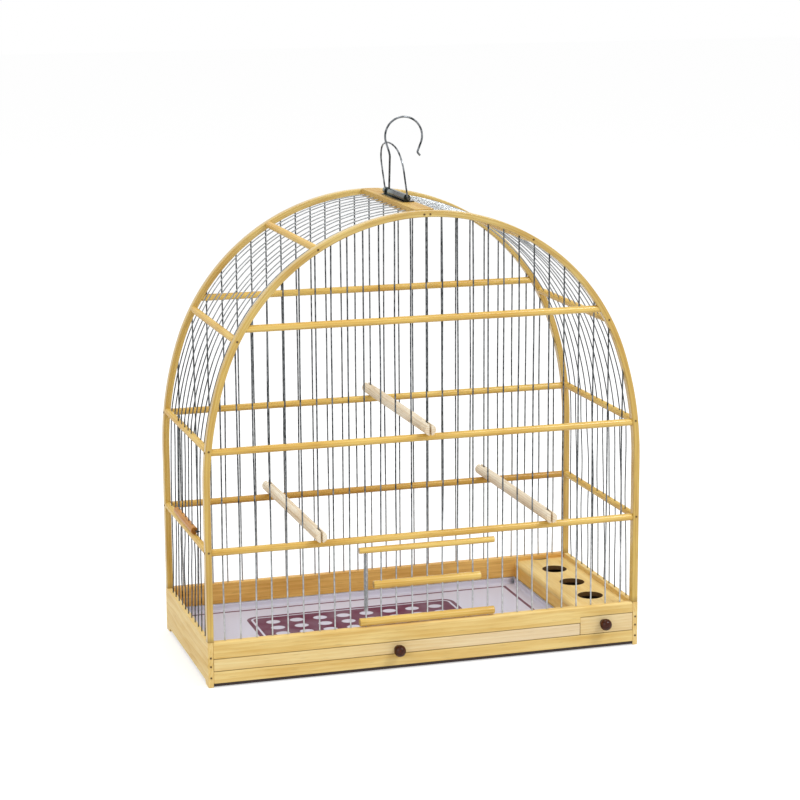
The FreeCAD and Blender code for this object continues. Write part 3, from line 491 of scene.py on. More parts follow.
def wood(tree, seen, grain, ring=3.2 * MM, by_depth=False, gloss=0.45, coat=0.0, contrast=0.3, fleck=0.3,
         paling=None, bored=None):
    """Planed or turned softwood. Growth rings are rings about a line along the grain, set off to one side.

    The rings' spacing is in metres, and the wave repeats every 2 pi / 20 of its scale. The grain runs along
    the piece's straightened length, or by depth along the object's Y. Cut ends, which the piece marks, soak
    up varnish and are darker; edges marked the same way beside narrow gaps are darkened as painted shade.
    A board may pale along its length X, or a bent bar up its height Z as a painted highlight on its top,
    given as that letter, two places and a second grain. Bored holes, given as the x of their row, their
    pitch in y and their radius, have their walls painted dark as the shade inside the holes.
    """
    early, late = colour(grain + "_early"), colour(grain + "_late")
    if by_depth:
        place = node(tree, "Mapping", {"Vector": seen, "Rotation": (0, 0, -math.pi / 2)})
    else:
        place = node(tree, "Attribute", out="Vector", attribute_name="grain")
    log = node(tree, "Mapping", {"Vector": place, "Location": (0, 0.023, 0.037), "Scale": (0.11, 1, 1)})
    rings = node(tree, "TexWave", {
        "Vector": log, "Scale": 2 * math.pi / (20 * ring), "Distortion": 7.0, "Detail": 3.0,
        "Detail Scale": 0.45}, out="Fac", wave_type="RINGS", rings_direction="X", wave_profile="SAW")
    drawn = node(tree, "Mapping", {"Vector": place, "Scale": cells(45.5, 1.923, 1.923)})
    fibres = node(tree, "TexNoise", {
        "Vector": drawn, "Scale": 1.0, "Detail": 4.0, "Roughness": 0.6}, out="Fac")
    wide = node(tree, "Mapping", {"Vector": place, "Scale": cells(90.9, 11.11, 11.11)})
    clouds = node(tree, "TexNoise", {"Vector": wide, "Scale": 1.0, "Detail": 3.0}, out="Fac")
    ring_share = node(tree, "Math", {0: rings, 1: contrast}, operation="MULTIPLY")
    share = node(tree, "Math", {0: fibres, 1: 0.5, 2: ring_share}, operation="MULTIPLY_ADD")
    spread = node(tree, "MapRange", {
        "Value": clouds, "From Min": 0.3, "From Max": 0.7, "To Min": -0.3, "To Max": 0.34})
    total = node(tree, "Math", {0: share, 1: spread}, operation="ADD", use_clamp=True)
    tone = node(tree, "Mix", {0: total, 6: early, 7: late}, out=2, data_type="RGBA")
    # A paler second grain along a way: up the arches' height it is painted highlight
    if paling:
        way, start, end, paler = paling
        spot = node(tree, "SeparateXYZ", {0: place if way == "X" else seen}, out=way)
        along = node(tree, "MapRange", {"Value": spot, "From Min": start, "From Max": end})
        pale = node(tree, "Mix", {
            0: total, 6: colour(paler + "_early"), 7: colour(paler + "_late")}, out=2, data_type="RGBA")
        tone = node(tree, "Mix", {0: along, 6: tone, 7: pale}, out=2, data_type="RGBA")
    thin = node(tree, "Mapping", {"Vector": place, "Scale": cells(22.2, 1.111, 1.111)})
    pores = node(tree, "TexNoise", {"Vector": thin, "Scale": 1.0, "Detail": 1.0}, out="Fac")
    flecks = node(tree, "MapRange", {
        "Value": pores, "From Min": 0.62, "From Max": 0.74, "To Min": 0.0, "To Max": fleck})
    dark = scaled(late, 0.5)
    tone = node(tree, "Mix", {0: flecks, 6: tone, 7: dark}, out=2, data_type="RGBA")
    # Cut ends darken as end grain; edges marked beside narrow gaps darken as painted shade
    sawn = node(tree, "Attribute", out="Fac", attribute_name="sawn")
    dark_ends_and_gaps = node(tree, "Math", {0: sawn, 1: 0.62}, operation="MULTIPLY")
    tone = node(tree, "Mix", {0: dark_ends_and_gaps, 6: tone, 7: dark}, out=2, data_type="RGBA")
    if bored:
        row, pitch, radius = bored
        sides = node(tree, "SeparateXYZ", {0: seen}).node.outputs
        across = node(tree, "Math", {0: sides["X"], 1: row}, operation="SUBTRACT")
        folded = node(tree, "Math", {0: sides["Y"], 1: pitch / 2, 2: -pitch / 2}, operation="WRAP")
        flat = node(tree, "CombineXYZ", {0: across, 1: folded})
        away = node(tree, "VectorMath", {0: flat}, out="Value", operation="LENGTH")
        # Painted shade on the holes' walls
        wall = node(tree, "MapRange", {
            "Value": away, "From Min": radius + 0.1 * MM, "From Max": radius + 0.5 * MM, "To Min": 0.9,
            "To Max": 0.0})
        tone = node(tree, "Mix", {0: wall, 6: tone, 7: colour("hole_shade")}, out=2, data_type="RGBA")
    rough = node(tree, "MapRange", {
        "Value": fibres, "From Min": 0.3, "From Max": 0.7, "To Min": gloss - 0.06, "To Max": gloss + 0.08})
    raised = node(tree, "Bump", {"Height": total, "Strength": 0.16, "Distance": 0.3 * MM})
    return node(tree, "BsdfPrincipled", {
        "Base Color": tone, "Roughness": rough, "IOR": 1.45, "Specular IOR Level": 0.22, "Coat Weight": coat,
        "Coat Roughness": 0.18, "Normal": raised})


def metal(tree, seen, first, second, patch, smooth, rough, change=None):
    """Drawn or rolled metal whose skin has patches of a second look, of a given width in metres.

    Where an axis and two places are given, the metal changes from its first look to its second between them.
    """
    patches = node(tree, "TexNoise", {
        "Vector": seen, "Scale": 1 / patch, "Detail": 3.0, "Roughness": 0.6}, out="Fac")
    share = node(tree, "MapRange", {"Value": patches, "From Min": 0.38, "From Max": 0.62})
    if change:
        way, start, end = change
        spot = node(tree, "SeparateXYZ", {0: seen}, out=way)
        past = node(tree, "MapRange", {"Value": spot, "From Min": start, "From Max": end})
        spots = node(tree, "Math", {0: share, 1: 0.3}, operation="MULTIPLY")
        share = node(tree, "Math", {0: past, 1: 0.7, 2: spots}, operation="MULTIPLY_ADD")
    tone = node(tree, "Mix", {0: share, 6: colour(first), 7: colour(second)}, out=2, data_type="RGBA")
    gloss = node(tree, "MapRange", {"Value": share, "To Min": smooth, "To Max": rough})
    raised = node(tree, "Bump", {"Height": patches, "Strength": 0.1, "Distance": 0.1 * MM})
    return node(tree, "BsdfPrincipled", {
        "Base Color": tone, "Metallic": 1.0, "Roughness": gloss, "Normal": raised})


def lacquer(tree, seen, stain):
    """Stained beech under thick lacquer: nearly black brown, faint grain, sharp highlights."""
    drawn = node(tree, "Mapping", {"Vector": seen, "Scale": cells(2, 16.67, 2)})
    grain = node(tree, "TexNoise", {"Vector": drawn, "Scale": 1.0, "Detail": 2.0}, out="Fac")
    share = node(tree, "MapRange", {"Value": grain, "From Min": 0.45, "From Max": 0.75})
    paler = scaled(colour(stain), 2.2)
    tone = node(tree, "Mix", {0: share, 6: colour(stain), 7: paler}, out=2, data_type="RGBA")
    return node(tree, "BsdfPrincipled", {
        "Base Color": tone, "Roughness": 0.32, "IOR": 1.45, "Specular IOR Level": 0.04, "Coat Weight": 0.4,
        "Coat Roughness": 0.04})


def past_sides(tree, flat, middle, half):
    """Places from the middle of a rectangle, and how far they lie past its sides."""
    place = node(tree, "VectorMath", {0: flat, 1: middle}, operation="SUBTRACT")
    spread = node(tree, "VectorMath", {0: place}, operation="ABSOLUTE")
    return place, node(tree, "VectorMath", {0: spread, 1: half}, operation="SUBTRACT")


def printed_paper(tree, seen, ground, ink):
    """Coated tray paper: pale ground, a printed panel with a lattice of pale dots, and a thin printed frame.

    A rounded panel covers where the distance to a smaller rectangle is below its corner radius. The frame
    runs where the larger of two distances past a rectangle's sides is near nothing.
    """
    flat = node(tree, "VectorMath", {0: seen, 1: (1, 1, 0)}, operation="MULTIPLY")
    from_panel, past = past_sides(tree, flat, PANEL_MIDDLE, PANEL_HALF)
    outside = node(tree, "VectorMath", {0: past, 1: (0, 0, 0)}, operation="MAXIMUM")
    away = node(tree, "VectorMath", {0: outside}, out="Value", operation="LENGTH")
    panel = node(tree, "MapRange", {
        "Value": away, "From Min": 13.6 * MM, "From Max": 14.4 * MM, "To Min": 1.0, "To Max": 0.0})
    off_rule = node(tree, "Math", {0: away, 1: 8 * MM}, operation="SUBTRACT")
    rule_near = node(tree, "Math", {0: off_rule}, operation="ABSOLUTE")
    rule = node(tree, "MapRange", {"Value": rule_near, "From Min": 1.0 * MM, "From Max": 1.6 * MM})
    cell = node(tree, "VectorMath", {0: from_panel, 1: DOT_PITCH}, operation="DIVIDE")
    within = node(tree, "VectorMath", {0: cell}, operation="FRACTION")
    off_dot = node(tree, "VectorMath", {0: within, 1: (0.5, 0.5, 0)}, operation="SUBTRACT")
    dot_reach = node(tree, "VectorMath", {0: off_dot}, out="Value", operation="LENGTH")
    dots = node(tree, "MapRange", {"Value": dot_reach, "From Min": 0.27, "From Max": 0.31})
    inner = node(tree, "MapRange", {"Value": away, "From Min": 0.0, "From Max": 0.5 * MM})
    dotted = node(tree, "Math", {0: dots, 1: inner}, operation="MAXIMUM")
    lined = node(tree, "Math", {0: dotted, 1: rule}, operation="MULTIPLY")
    inked = node(tree, "Math", {0: panel, 1: lined}, operation="MULTIPLY")
    past = past_sides(tree, flat, (*middle_of("tray_liner")[:2], 0), FRAME_HALF)[1]
    sides = node(tree, "SeparateXYZ", {0: past}).node.outputs
    furthest = node(tree, "Math", {0: sides["X"], 1: sides["Y"]}, operation="MAXIMUM")
    off_frame = node(tree, "Math", {0: furthest}, operation="ABSOLUTE")
    border = node(tree, "MapRange", {
        "Value": off_frame, "From Min": 1.6 * MM, "From Max": 2.2 * MM, "To Min": 1.0, "To Max": 0.0})
    marks = node(tree, "Math", {0: inked, 1: border}, operation="MAXIMUM")
    cloud = node(tree, "TexNoise", {"Vector": seen, "Scale": 1 / (30 * MM), "Detail": 3.0}, out="Fac")
    fade = node(tree, "MapRange", {
        "Value": cloud, "From Min": 0.3, "From Max": 0.7, "To Min": 0.84, "To Max": 1.0})
    worn = node(tree, "Math", {0: marks, 1: fade}, operation="MULTIPLY")
    tone = node(tree, "Mix", {0: worn, 6: colour(ground), 7: colour(ink)}, out=2, data_type="RGBA")
    pulp = node(tree, "TexNoise", {"Vector": seen, "Scale": 1 / (3 * MM), "Detail": 2.0}, out="Fac")
    raised = node(tree, "Bump", {"Height": pulp, "Strength": 0.12, "Distance": 0.2 * MM})
    return node(tree, "BsdfPrincipled", {
        "Base Color": tone, "Roughness": 0.6, "IOR": 1.4, "Specular IOR Level": 0.3, "Normal": raised})


def hardboard(tree, seen, brown):
    """Pressed hardboard: dark brown, with paler wood fibres about a millimetre long."""
    pulp = node(tree, "TexNoise", {
        "Vector": seen, "Scale": 1 / (1.2 * MM), "Detail": 4.0, "Roughness": 0.7}, out="Fac")
    share = node(tree, "MapRange", {"Value": pulp, "From Min": 0.42, "From Max": 0.7})
    paler = scaled(colour(brown), 1.9)
    tone = node(tree, "Mix", {0: share, 6: colour(brown), 7: paler}, out=2, data_type="RGBA")
    raised = node(tree, "Bump", {"Height": pulp, "Strength": 0.2, "Distance": 0.2 * MM})
    return node(tree, "BsdfPrincipled", {"Base Color": tone, "Roughness": 0.6, "IOR": 1.5, "Normal": raised})


# Finishes: the function that makes each and what it is given
RECIPES = {
    # Varnished pine: wide honey rings, satin
    "varnished_pine": (wood, {"grain": "pine"}),
    "varnished_pine_bench": (wood, {"grain": "pine", "by_depth": True, "bored": SEED_HOLES}),
    # Sapwood pine: honey at one end, nearly white at the other
    "pale_pine": (wood, {
        "grain": "pale", "ring": 2.6 * MM,
        "paling": ("X", TRAY_GRAIN + 0.12, TRAY_GRAIN + 0.36, "paling")}),
    # Sanded pine panel: even beige, quiet grain
    "sanded_pine_panel": (wood, {"grain": "panel", "ring": 3.6 * MM, "contrast": 0.45}),
    # Varnished beech dowel: fine straight fibres, warm yellow
    "varnished_dowel": (wood, {
        "grain": "dowel", "ring": 2.2 * MM, "gloss": 0.36, "coat": 0.5, "contrast": 0.45}),
    # Satin dowel: the same beech under thinner varnish
    "satin_dowel": (wood, {
        "grain": "dowel", "ring": 2.2 * MM, "gloss": 0.42, "coat": 0.1, "contrast": 0.45}),
    # Steamed and bent beech: brownish yellow, close straight fibres, paler near the top as painted highlight
    "bent_beech": (wood, {
        "grain": "bent", "ring": 2.4 * MM, "gloss": 0.38, "coat": 0.5, "contrast": 0.45,
        "paling": ("Z", 0.36, 0.46, "bent_highlight")}),
    # Ridge: deep honey, darker than the arches
    "aged_ridge": (wood, {"grain": "ridge"}),
    # Shaded pine: the boards' pine made darker and more orange, as painted shade inside the cage
    "aged_pine": (wood, {"grain": "aged"}),
    "aged_pine_wall": (wood, {"grain": "wall", "by_depth": True}),
    # Darker dowel: orange honey, darker than the front rods
    "dark_dowel": (wood, {"grain": "rear", "ring": 2.2 * MM, "gloss": 0.36, "coat": 0.5}),
    # Raw perch wood: matt, pinkish streaks, open pores
    "raw_perch_wood": (wood, {
        "grain": "perch", "ring": 2.4 * MM, "by_depth": True, "gloss": 0.6, "contrast": 0.6, "fleck": 0.35}),
    # Stained dowel: orange brown, glossy
    "stained_dowel": (wood, {"grain": "stain", "ring": 2.2 * MM, "gloss": 0.34}),
    # Galvanised wire: bright low down as painted highlight, dark grey higher up as painted shade
    "galvanised_wire": (metal, {
        "first": "wire", "second": "wire_dull", "patch": 5 * MM, "smooth": 0.28, "rough": 0.42,
        "change": ("Z", 0.06, 0.19)}),
    # Thin galvanised wire: dark grey on the sides as painted shade, bright over the roof as painted highlight
    "thin_galvanised_wire": (metal, {
        "first": "thin_wire_shaded", "second": "thin_wire", "patch": 6 * MM, "smooth": 0.42, "rough": 0.26,
        "change": ("Z", 0.33, 0.43)}),
    # Plated spring steel: light even grey
    "plated_spring": (metal, {
        "first": "spring", "second": "spring_dull", "patch": 3 * MM, "smooth": 0.3, "rough": 0.4}),
    # Bright drawn wire: grey with short dull spells
    "bright_drawn_wire": (metal, {
        "first": "hanger", "second": "wire_dull", "patch": 7 * MM, "smooth": 0.25, "rough": 0.4}),
    # Blued steel: nearly black at the front, grey at the back as painted highlight
    "blued_steel": (metal, {
        "first": "bracket", "second": "bracket_highlight", "patch": 10 * MM, "smooth": 0.2, "rough": 0.3,
        "change": ("Y", -0.004, 0.016)}),
    # Nail steel: dull brown heads
    "nail_steel": (metal, {
        "first": "nail", "second": "nail_rust", "patch": 2 * MM, "smooth": 0.45, "rough": 0.6}),
    # Mill sheet: pale, broad soft reflections
    "mill_sheet": (metal, {
        "first": "pan", "second": "pan_dull", "patch": 25 * MM, "smooth": 0.4, "rough": 0.5}),
    # Tempered hardboard: nearly black brown, a dark sheet that paints the shade under the base
    "tempered_hardboard": (hardboard, {"brown": "hardboard"}),
    # Hardboard of the seed box: grey brown, painted shade inside the box seen through the feeding holes
    "dark_seed_box": (hardboard, {"brown": "seed_box_shade"}),
    # Stained and lacquered beech: nearly black, sharp highlights
    "lacquered_knob": (lacquer, {"stain": "knob"}),
    # Coated paper: pale lilac ground, dark red print, low gloss
    "tray_paper": (printed_paper, {"ground": "paper", "ink": "paper_print"}),
}
FINISHES = {}


def finish(name):
    """Finish of a name, made when it is first asked for."""
    if name not in FINISHES:
        make, given = RECIPES[name]
        made, tree = blank(name)
        seen = node(tree, "TexCoord", out="Object")
        node(tree, "OutputMaterial", {"Surface": make(tree, seen, **given)})
        FINISHES[name] = made
    return FINISHES[name]


def repaint(name, *nodes):
    """Give CAD nodes that are right in shape a finish of their own."""
    for each in nodes:
        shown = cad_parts[each]
        if not shown.material_slots:
            shown.data.materials.append(None)
        for held in shown.material_slots:
            held.material = finish(name)


def drop_loose(piece):
    """Take away points that no face uses."""
    body = bmesh.new()
    body.from_mesh(piece.data)
    bmesh.ops.delete(body, geom=[point for point in body.verts if not point.link_faces], context="VERTS")
    body.to_mesh(piece.data)
    body.free()


def weighted(piece):
    """Keep the broad faces flat beside their eased edges."""
    even = piece.modifiers.new("even_faces", "WEIGHTED_NORMAL")
    even.keep_sharp = True


def paint_gap_shade(made, height, ease):
    """Paint shade along a narrow gap: mark a board's points within part of an ease of a height as dark, like
    its cut ends.
    """
    near = np.abs(made[0][:, 2] - height) < 0.45 * ease
    made[2][near, 3] = 1.0


def board(name, node_name, axis, body, material, gap_shaded=False):
    """Planed board in a CAD node's box: a rounded rectangle carried along one axis, with eased ends.

    The outline's first way is the next axis round (Y for X, Z for Y, X for Z), its second the one after.
    Gap-shaded boards get painted shade along their top and bottom edges, where they meet a narrow gap.
    """
    ease = bpy.context.scene.cage_sizes.board_ease
    low, high = box(node_name)
    way = "XYZ".index(axis)
    first, second = (way + 1) % 3, (way + 2) % 3
    stations, insets = eased(high[way] - low[way], ease, BOARD_STATIONS)
    path = np.zeros((len(stations), 3))
    path[:, way] = low[way] + stations
    outline = rounded_rectangle(low[[first, second]], high[[first, second]], (ease,) * 4, insets)
    made = carried(path, WAYS[first], WAYS[second], outline, BOARD_GRAIN[node_name])
    if gap_shaded:
        paint_gap_shade(made, low[2], ease)
        paint_gap_shade(made, high[2], ease)
    weighted(place_mesh(name, made, node_name, body, material, smooth=BOARD_SMOOTH))


def round_bar(node_name, body, material, shift):
    """Turned bar in a CAD node's box: a circle carried along the box's longest way, eased at both ends.

    The radius swells and thins a little along the length, as a sum of two sines.
    """
    low, high = box(node_name)
    size = high - low
    way = int(np.argmax(size))
    first, second = (way + 1) % 3, (way + 2) % 3
    radius = min(size[first], size[second]) / 2
    stations, insets = eased(size[way], bpy.context.scene.cage_sizes.bar_ease, BAR_STATIONS)
    path = np.tile((low + high) / 2, (len(stations), 1))
    path[:, way] = low[way] + stations
    wave = sum(part * np.sin(run * stations + start * shift[0]) for part, run, start in BAR_WAVES)
    radii = radius * (1 - BAR_SWELL * (1 + 0.6 * wave) / 2) - insets
    made = carried(path, WAYS[first], WAYS[second], circle(radii, BAR_SIDES), shift)
    place_mesh(node_name + "_turned", made, node_name, body, material)


def straight_wires(name, node_name, body, feet, heads, rng, bows, thin=False):
    """Wires from feet to heads, each wandering a little from its line in two ways across it."""
    share = np.linspace(0, 1, WIRE_STATIONS)[None, :, None]
    paths = feet[:, None, :] + share * (heads - feet)[:, None, :]
    along = heads[0] - feet[0]
    along = along / np.linalg.norm(along)
    across = np.cross(Y_WAY if abs(along[1]) < 0.5 else X_WAY, along)
    across = across / np.linalg.norm(across)
    up = np.cross(along, across)
    reach = np.broadcast_to(bows, len(feet))[:, None]
    for way in (across, up):
        paths = paths + (wander(rng, len(feet), WIRE_STATIONS, 1.0) * reach)[..., None] * way
    diameter = SIDE_WIRE_DIAMETER if thin else WIRE_DIAMETER
    made = carried(paths, across, up, circle(diameter / 2, WIRE_SIDES))
    place_mesh(name, made[:2], node_name, body,
               "thin_galvanised_wire" if thin else "galvanised_wire", WIRE_SMOOTH)


def turned_knob(name, node_name, body):
    """Turned knob: circles carried out from the front, collar, hollow neck and slightly flattened ball.

    The ball's radius follows a circle about its centre; the neck's follows a hollow between collar and ball.
    """
    low, high = box(node_name)
    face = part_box("front_bottom_rail")[0][1]
    radius = (high[0] - low[0]) / 2
    turn = np.linspace(*BALL_TURN, BALL_STATIONS)
    reach = np.concatenate([NECK_REACH, face - low[1] - radius + radius * np.sin(turn)])
    radii = np.concatenate([NECK_RADIUS, radius * np.cos(turn)])
    path = rows((low[0] + high[0]) / 2, face - reach, (low[2] + high[2]) / 2)
    made = carried(path, X_WAY, Z_WAY, circle(radii, KNOB_SIDES))
    place_mesh(name, made[:2], node_name, body, "lacquered_knob", KNOB_SMOOTH)


class CAGE_OT_base(bpy.types.Operator):
    """Pine boards of the base: side panels with feet, back board, front strip, bottom rail and inner walls"""
    bl_idname = "cage.base"
    bl_label = "Base boards"

    def execute(self, context):
        sizes = context.scene.cage_sizes
        for side in ("left", "right"):
            self.panel(side + "_base_panel", sizes.board_ease)
        # Back board: the pine's darker copy, painted shade on its inner face
        board("back_board", "back_base_board", "X", "cage", "aged_pine")
        board("bottom_rail", "front_bottom_rail", "X", "cage", "varnished_pine", gap_shaded=True)
        self.strip(sizes.board_ease, sizes.strip_round)
        repaint("varnished_pine_bench", "seed_bench")
        # Seed bench's wall and runners: the pine's darker copy, painted shade inside the base
        repaint("aged_pine_wall", "seed_divider", "drawer_runners")
        # A nearly black sheet under the base paints the shade beneath it
        repaint("tempered_hardboard", "base_bottom_sheet")
        return {"FINISHED"}

    def panel(self, node_name, ease):
        """Side panel: its outline with two feet, in Y and Z, carried across the panel's thickness."""
        low, high = box(node_name)
        inner = FOOT_LENGTH + FOOT_RELIEF
        y0, y1, z1 = low[1], high[1], high[2]
        outline = np.array(((y0, 0), (y0 + FOOT_LENGTH, 0), (y0 + inner, FOOT_RELIEF),
                            (y1 - inner, FOOT_RELIEF), (y1 - FOOT_LENGTH, 0), (y1, 0), (y1, z1), (y0, z1)))
        points, faces = carried(rows((low[0], high[0]), 0, 0), Y_WAY, Z_WAY, outline)[:2]
        grain = np.column_stack([points[:, (1, 2, 0)] + BOARD_GRAIN[node_name], np.zeros(len(points))])
        piece = place_mesh(node_name + "_sawn", (points, faces, grain), node_name, "cage",
                           "sanded_pine_panel", PANEL_SMOOTH)
        soft = piece.modifiers.new("eased_edges", "BEVEL")
        soft.width = ease
        soft.segments = 3
        soft.limit_method = "ANGLE"
        soft.harden_normals = True

    def strip(self, ease, upper):
        """Front strip: a rectangle with round upper edges along X, stepping up over the seed drawer."""
        low, high = box("front_top_strip")
        seed_low, seed_high = box("seed_drawer_front")
        step = seed_low[0]
        stepped = seed_high[2] + SEED_FRONT_GAP
        stations, insets = eased(high[0] - low[0], ease, STRIP_STATIONS)
        x = low[0] + stations
        insets = np.concatenate([insets[x < step], (0, 0), insets[x > step]])
        x = np.concatenate([x[x < step], (step, step), x[x > step]])
        past = np.arange(len(x)) > np.argmax(x >= step)
        lows = np.stack([np.full(len(x), low[1]), np.where(past, stepped, low[2])], axis=-1)
        highs = np.tile(high[1:], (len(x), 1))
        outline = rounded_rectangle(lows, highs, (ease, upper, upper, ease), insets)
        made = carried(rows(x, 0, 0), Y_WAY, Z_WAY, outline, BOARD_GRAIN["front_top_strip"])
        # Painted shade along the strip's lower edge and its step, over the gaps to the tray and the seed
        # drawer
        paint_gap_shade(made, low[2], ease)
        paint_gap_shade(made, stepped, ease)
        weighted(place_mesh("front_strip", made, "front_top_strip", "cage", "varnished_pine",
                            smooth=BOARD_SMOOTH))


class CAGE_OT_arches(bpy.types.Operator):
    """Bent arches of the front and the back, and the ridge board between them"""
    bl_idname = "cage.arches"
    bl_label = "Arches and ridge"

    def execute(self, context):
        ease = context.scene.cage_sizes.arch_ease
        for node_name in ("front_arch", "rear_arch"):
            self.arch(node_name, ease)
        board("ridge_plank", "ridge_board", "Y", "cage", "aged_ridge")
        return {"FINISHED"}

    def arch(self, node_name, ease):
        """Bent strip: a rounded rectangle carried up one leg, over the two arcs of each half and down."""
        low, high = box(node_name)
        over, outward = arch_line(np.linspace(0, math.pi, ARCH_STATIONS), ARCH_THICKNESS / 2)
        leg = np.linspace(low[2], ARCH_SPRING, LEG_STATIONS)[:-1]
        right = rows(over[0, 0], 0, leg)
        left = right[::-1] * np.array((-1, 1, 1))
        path = np.concatenate([right, over, left])
        path[:, 1] = (low[1] + high[1]) / 2
        legs = np.tile(outward[0], (len(leg), 1))
        across = np.concatenate([legs, outward, -legs])
        half = np.array((ARCH_THICKNESS, high[1] - low[1])) / 2
        outline = rounded_rectangle(-half, half, (ease,) * 4, 0.0)
        made = carried(path, across, Y_WAY, outline, BOARD_GRAIN[node_name])
        weighted(place_mesh(node_name + "_bent", made, node_name, "cage", "bent_beech",
                            smooth=BOARD_SMOOTH))


class CAGE_OT_dowels(bpy.types.Operator):
    """Round rods across the front and the back and round rails along the sides"""
    bl_idname = "cage.dowels"
    bl_label = "Rods and rails"

    def execute(self, context):
        for place, node_name in enumerate(RODS + RAILS):
            shift = (0.37 * place, 0.011 * place % 0.05, 0.017 * place % 0.04)
            material = "satin_dowel" if node_name in RAILS else "varnished_dowel"
            material = "dark_dowel" if node_name in DARKER_RODS else material
            round_bar(node_name, "cage", material, shift)
        return {"FINISHED"}


class CAGE_OT_wires(bpy.types.Operator):
    """Fixed wires of the front, the back, both sides and the roof"""
    bl_idname = "cage.wires"
    bl_label = "Wires"

    def execute(self, context):
        bow = context.scene.cage_sizes.wire_bow
        rng = np.random.default_rng(5)
        for face in ("front", "rear"):
            self.face(face, bow, rng)
        for side, sign in (("left", -1), ("right", 1)):
            self.side(side, sign, bow, rng)
            self.roof(side, sign, bow, rng)
        return {"FINISHED"}

    def face(self, face, bow, rng):
        """Upright wires, each from the base board to the middle of the arch over it."""
        index = np.arange(-FRONT_WIRES, FRONT_WIRES + 1)
        x = index * FRONT_PITCH
        y = middle_of(face + "_wires")[1]
        line = arch_line(np.linspace(0, math.pi / 2, 400), ARCH_THICKNESS / 2)[0]
        top = np.interp(np.abs(x), line[::-1, 0], line[::-1, 2])
        bottom = np.full(len(x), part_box(face + "_wires")[0][2])
        if face == "front":
            bottom[np.abs(index) < DOOR_SPACES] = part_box("front_rod_lower")[0][2] + BAR_SEAT
        bows = np.where(np.isin(index, GUIDING_WIRES), 0.0, bow)
        straight_wires(face + "_wires_drawn", face + "_wires", "cage", rows(x, y, bottom), rows(x, y, top),
                       rng, bows)

    def side(self, side, sign, bow, rng):
        """Leaning wires from the panel to the mid rail, or to the lower rail in the side door's opening."""
        index = np.arange(-SIDE_WIRES, SIDE_WIRES + 1)
        foot, head = side_line()
        top = np.full(len(index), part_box(side + "_rail_mid")[1][2] - MID_SEAT)
        if side == "left":
            top[np.abs(index) < SIDE_DOOR_SPACES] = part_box("left_rail_lower")[1][2] - BAR_SEAT
        share = (top - foot[1]) / (head[1] - foot[1])
        x = sign * (foot[0] + share * (head[0] - foot[0]))
        y = index * SIDE_PITCH
        bows = np.where((side == "left") & (np.abs(index) == SIDE_DOOR_SPACES), 0.0, 1.6 * bow)
        straight_wires(side + "_wires_drawn", side + "_side_wires", "cage", rows(sign * foot[0], y, foot[1]),
                       rows(x, y, top), rng, bows, thin=True)

    def roof(self, side, sign, bow, rng):
        """Roof wires: the arch's line at its inset from the mid rail to the ridge, wandering in and out."""
        line, outward = arch_line(np.linspace(mid_rail()[1], RIDGE_SEAT_TURN, ROOF_STATIONS), ROOF_WIRE_INSET)
        y = np.arange(-SIDE_WIRES, SIDE_WIRES + 1) * SIDE_PITCH
        flip = np.array((sign, 1, 1))
        outward = outward * flip
        paths = (line * flip)[None] + y[:, None, None] * Y_WAY
        for way in (outward, Y_WAY):
            paths = paths + wander(rng, len(y), ROOF_STATIONS, bow)[..., None] * way
        made = carried(paths, outward * sign, Y_WAY, circle(SIDE_WIRE_DIAMETER / 2, WIRE_SIDES))
        place_mesh(side + "_roof_wires_bent", made[:2], side + "_roof_wires", "cage",
                   "thin_galvanised_wire", WIRE_SMOOTH)


class CAGE_OT_front_door(bpy.types.Operator):
    """Front door: three bars, seven wires and the torsion spring on its hinge wire"""
    bl_idname = "cage.front_door"
    bl_label = "Front door"

    def execute(self, context):
        for place, level in enumerate(("top", "mid", "bottom")):
            round_bar("door_%s_bar" % level, "front_door", "varnished_dowel",
                      (0.9 + 0.4 * place, 0.03, 0.012 * place))
        low, high = box("door_wires")
        x = np.arange(1 - DOOR_SPACES, DOOR_SPACES) * FRONT_PITCH
        y = (low[1] + high[1]) / 2
        straight_wires("door_wires_drawn", "door_wires", "front_door", rows(x, y, low[2]),
                       rows(x, y, high[2]), np.random.default_rng(8), context.scene.cage_sizes.wire_bow / 2)
        self.spring()
        return {"FINISHED"}

    def spring(self):
        """Close-wound spring: a circle of the wire carried along a helix, with a straight leg at each end."""
        radius = (SPRING_DIAMETER - SPRING_WIRE) / 2
        pitch = SPRING_WIRE + SPRING_GAP
        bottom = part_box("door_spring")[1][2] - SPRING_WIRE / 2 - SPRING_TURNS * pitch
        centre = np.array((-DOOR_SPACES * FRONT_PITCH, middle_of("front_wires")[1], bottom))
        angle = np.linspace(0, 2 * math.pi * SPRING_TURNS, SPRING_TURN_STATIONS * SPRING_TURNS + 1)
        radial = rows(np.cos(angle), np.sin(angle), 0.0)
        along = rows(-np.sin(angle), np.cos(angle), pitch / (2 * math.pi * radius))
        along = along / np.linalg.norm(along, axis=1)[:, None]
        path = centre + radius * radial + rows(0.0, 0.0, pitch * angle / (2 * math.pi))
        leg = SPRING_WIRE
        path = np.concatenate([path[:1] - leg * along[:1], path, path[-1:] + leg * along[-1:]])
        radial = np.concatenate([radial[:1], radial, radial[-1:]])
        along = np.concatenate([along[:1], along, along[-1:]])
        made = carried(path, radial, np.cross(along, radial), circle(SPRING_WIRE / 2, WIRE_SIDES))
        place_mesh("door_spring_wound", made[:2], "door_spring", "front_door",
                   "plated_spring", WIRE_SMOOTH)


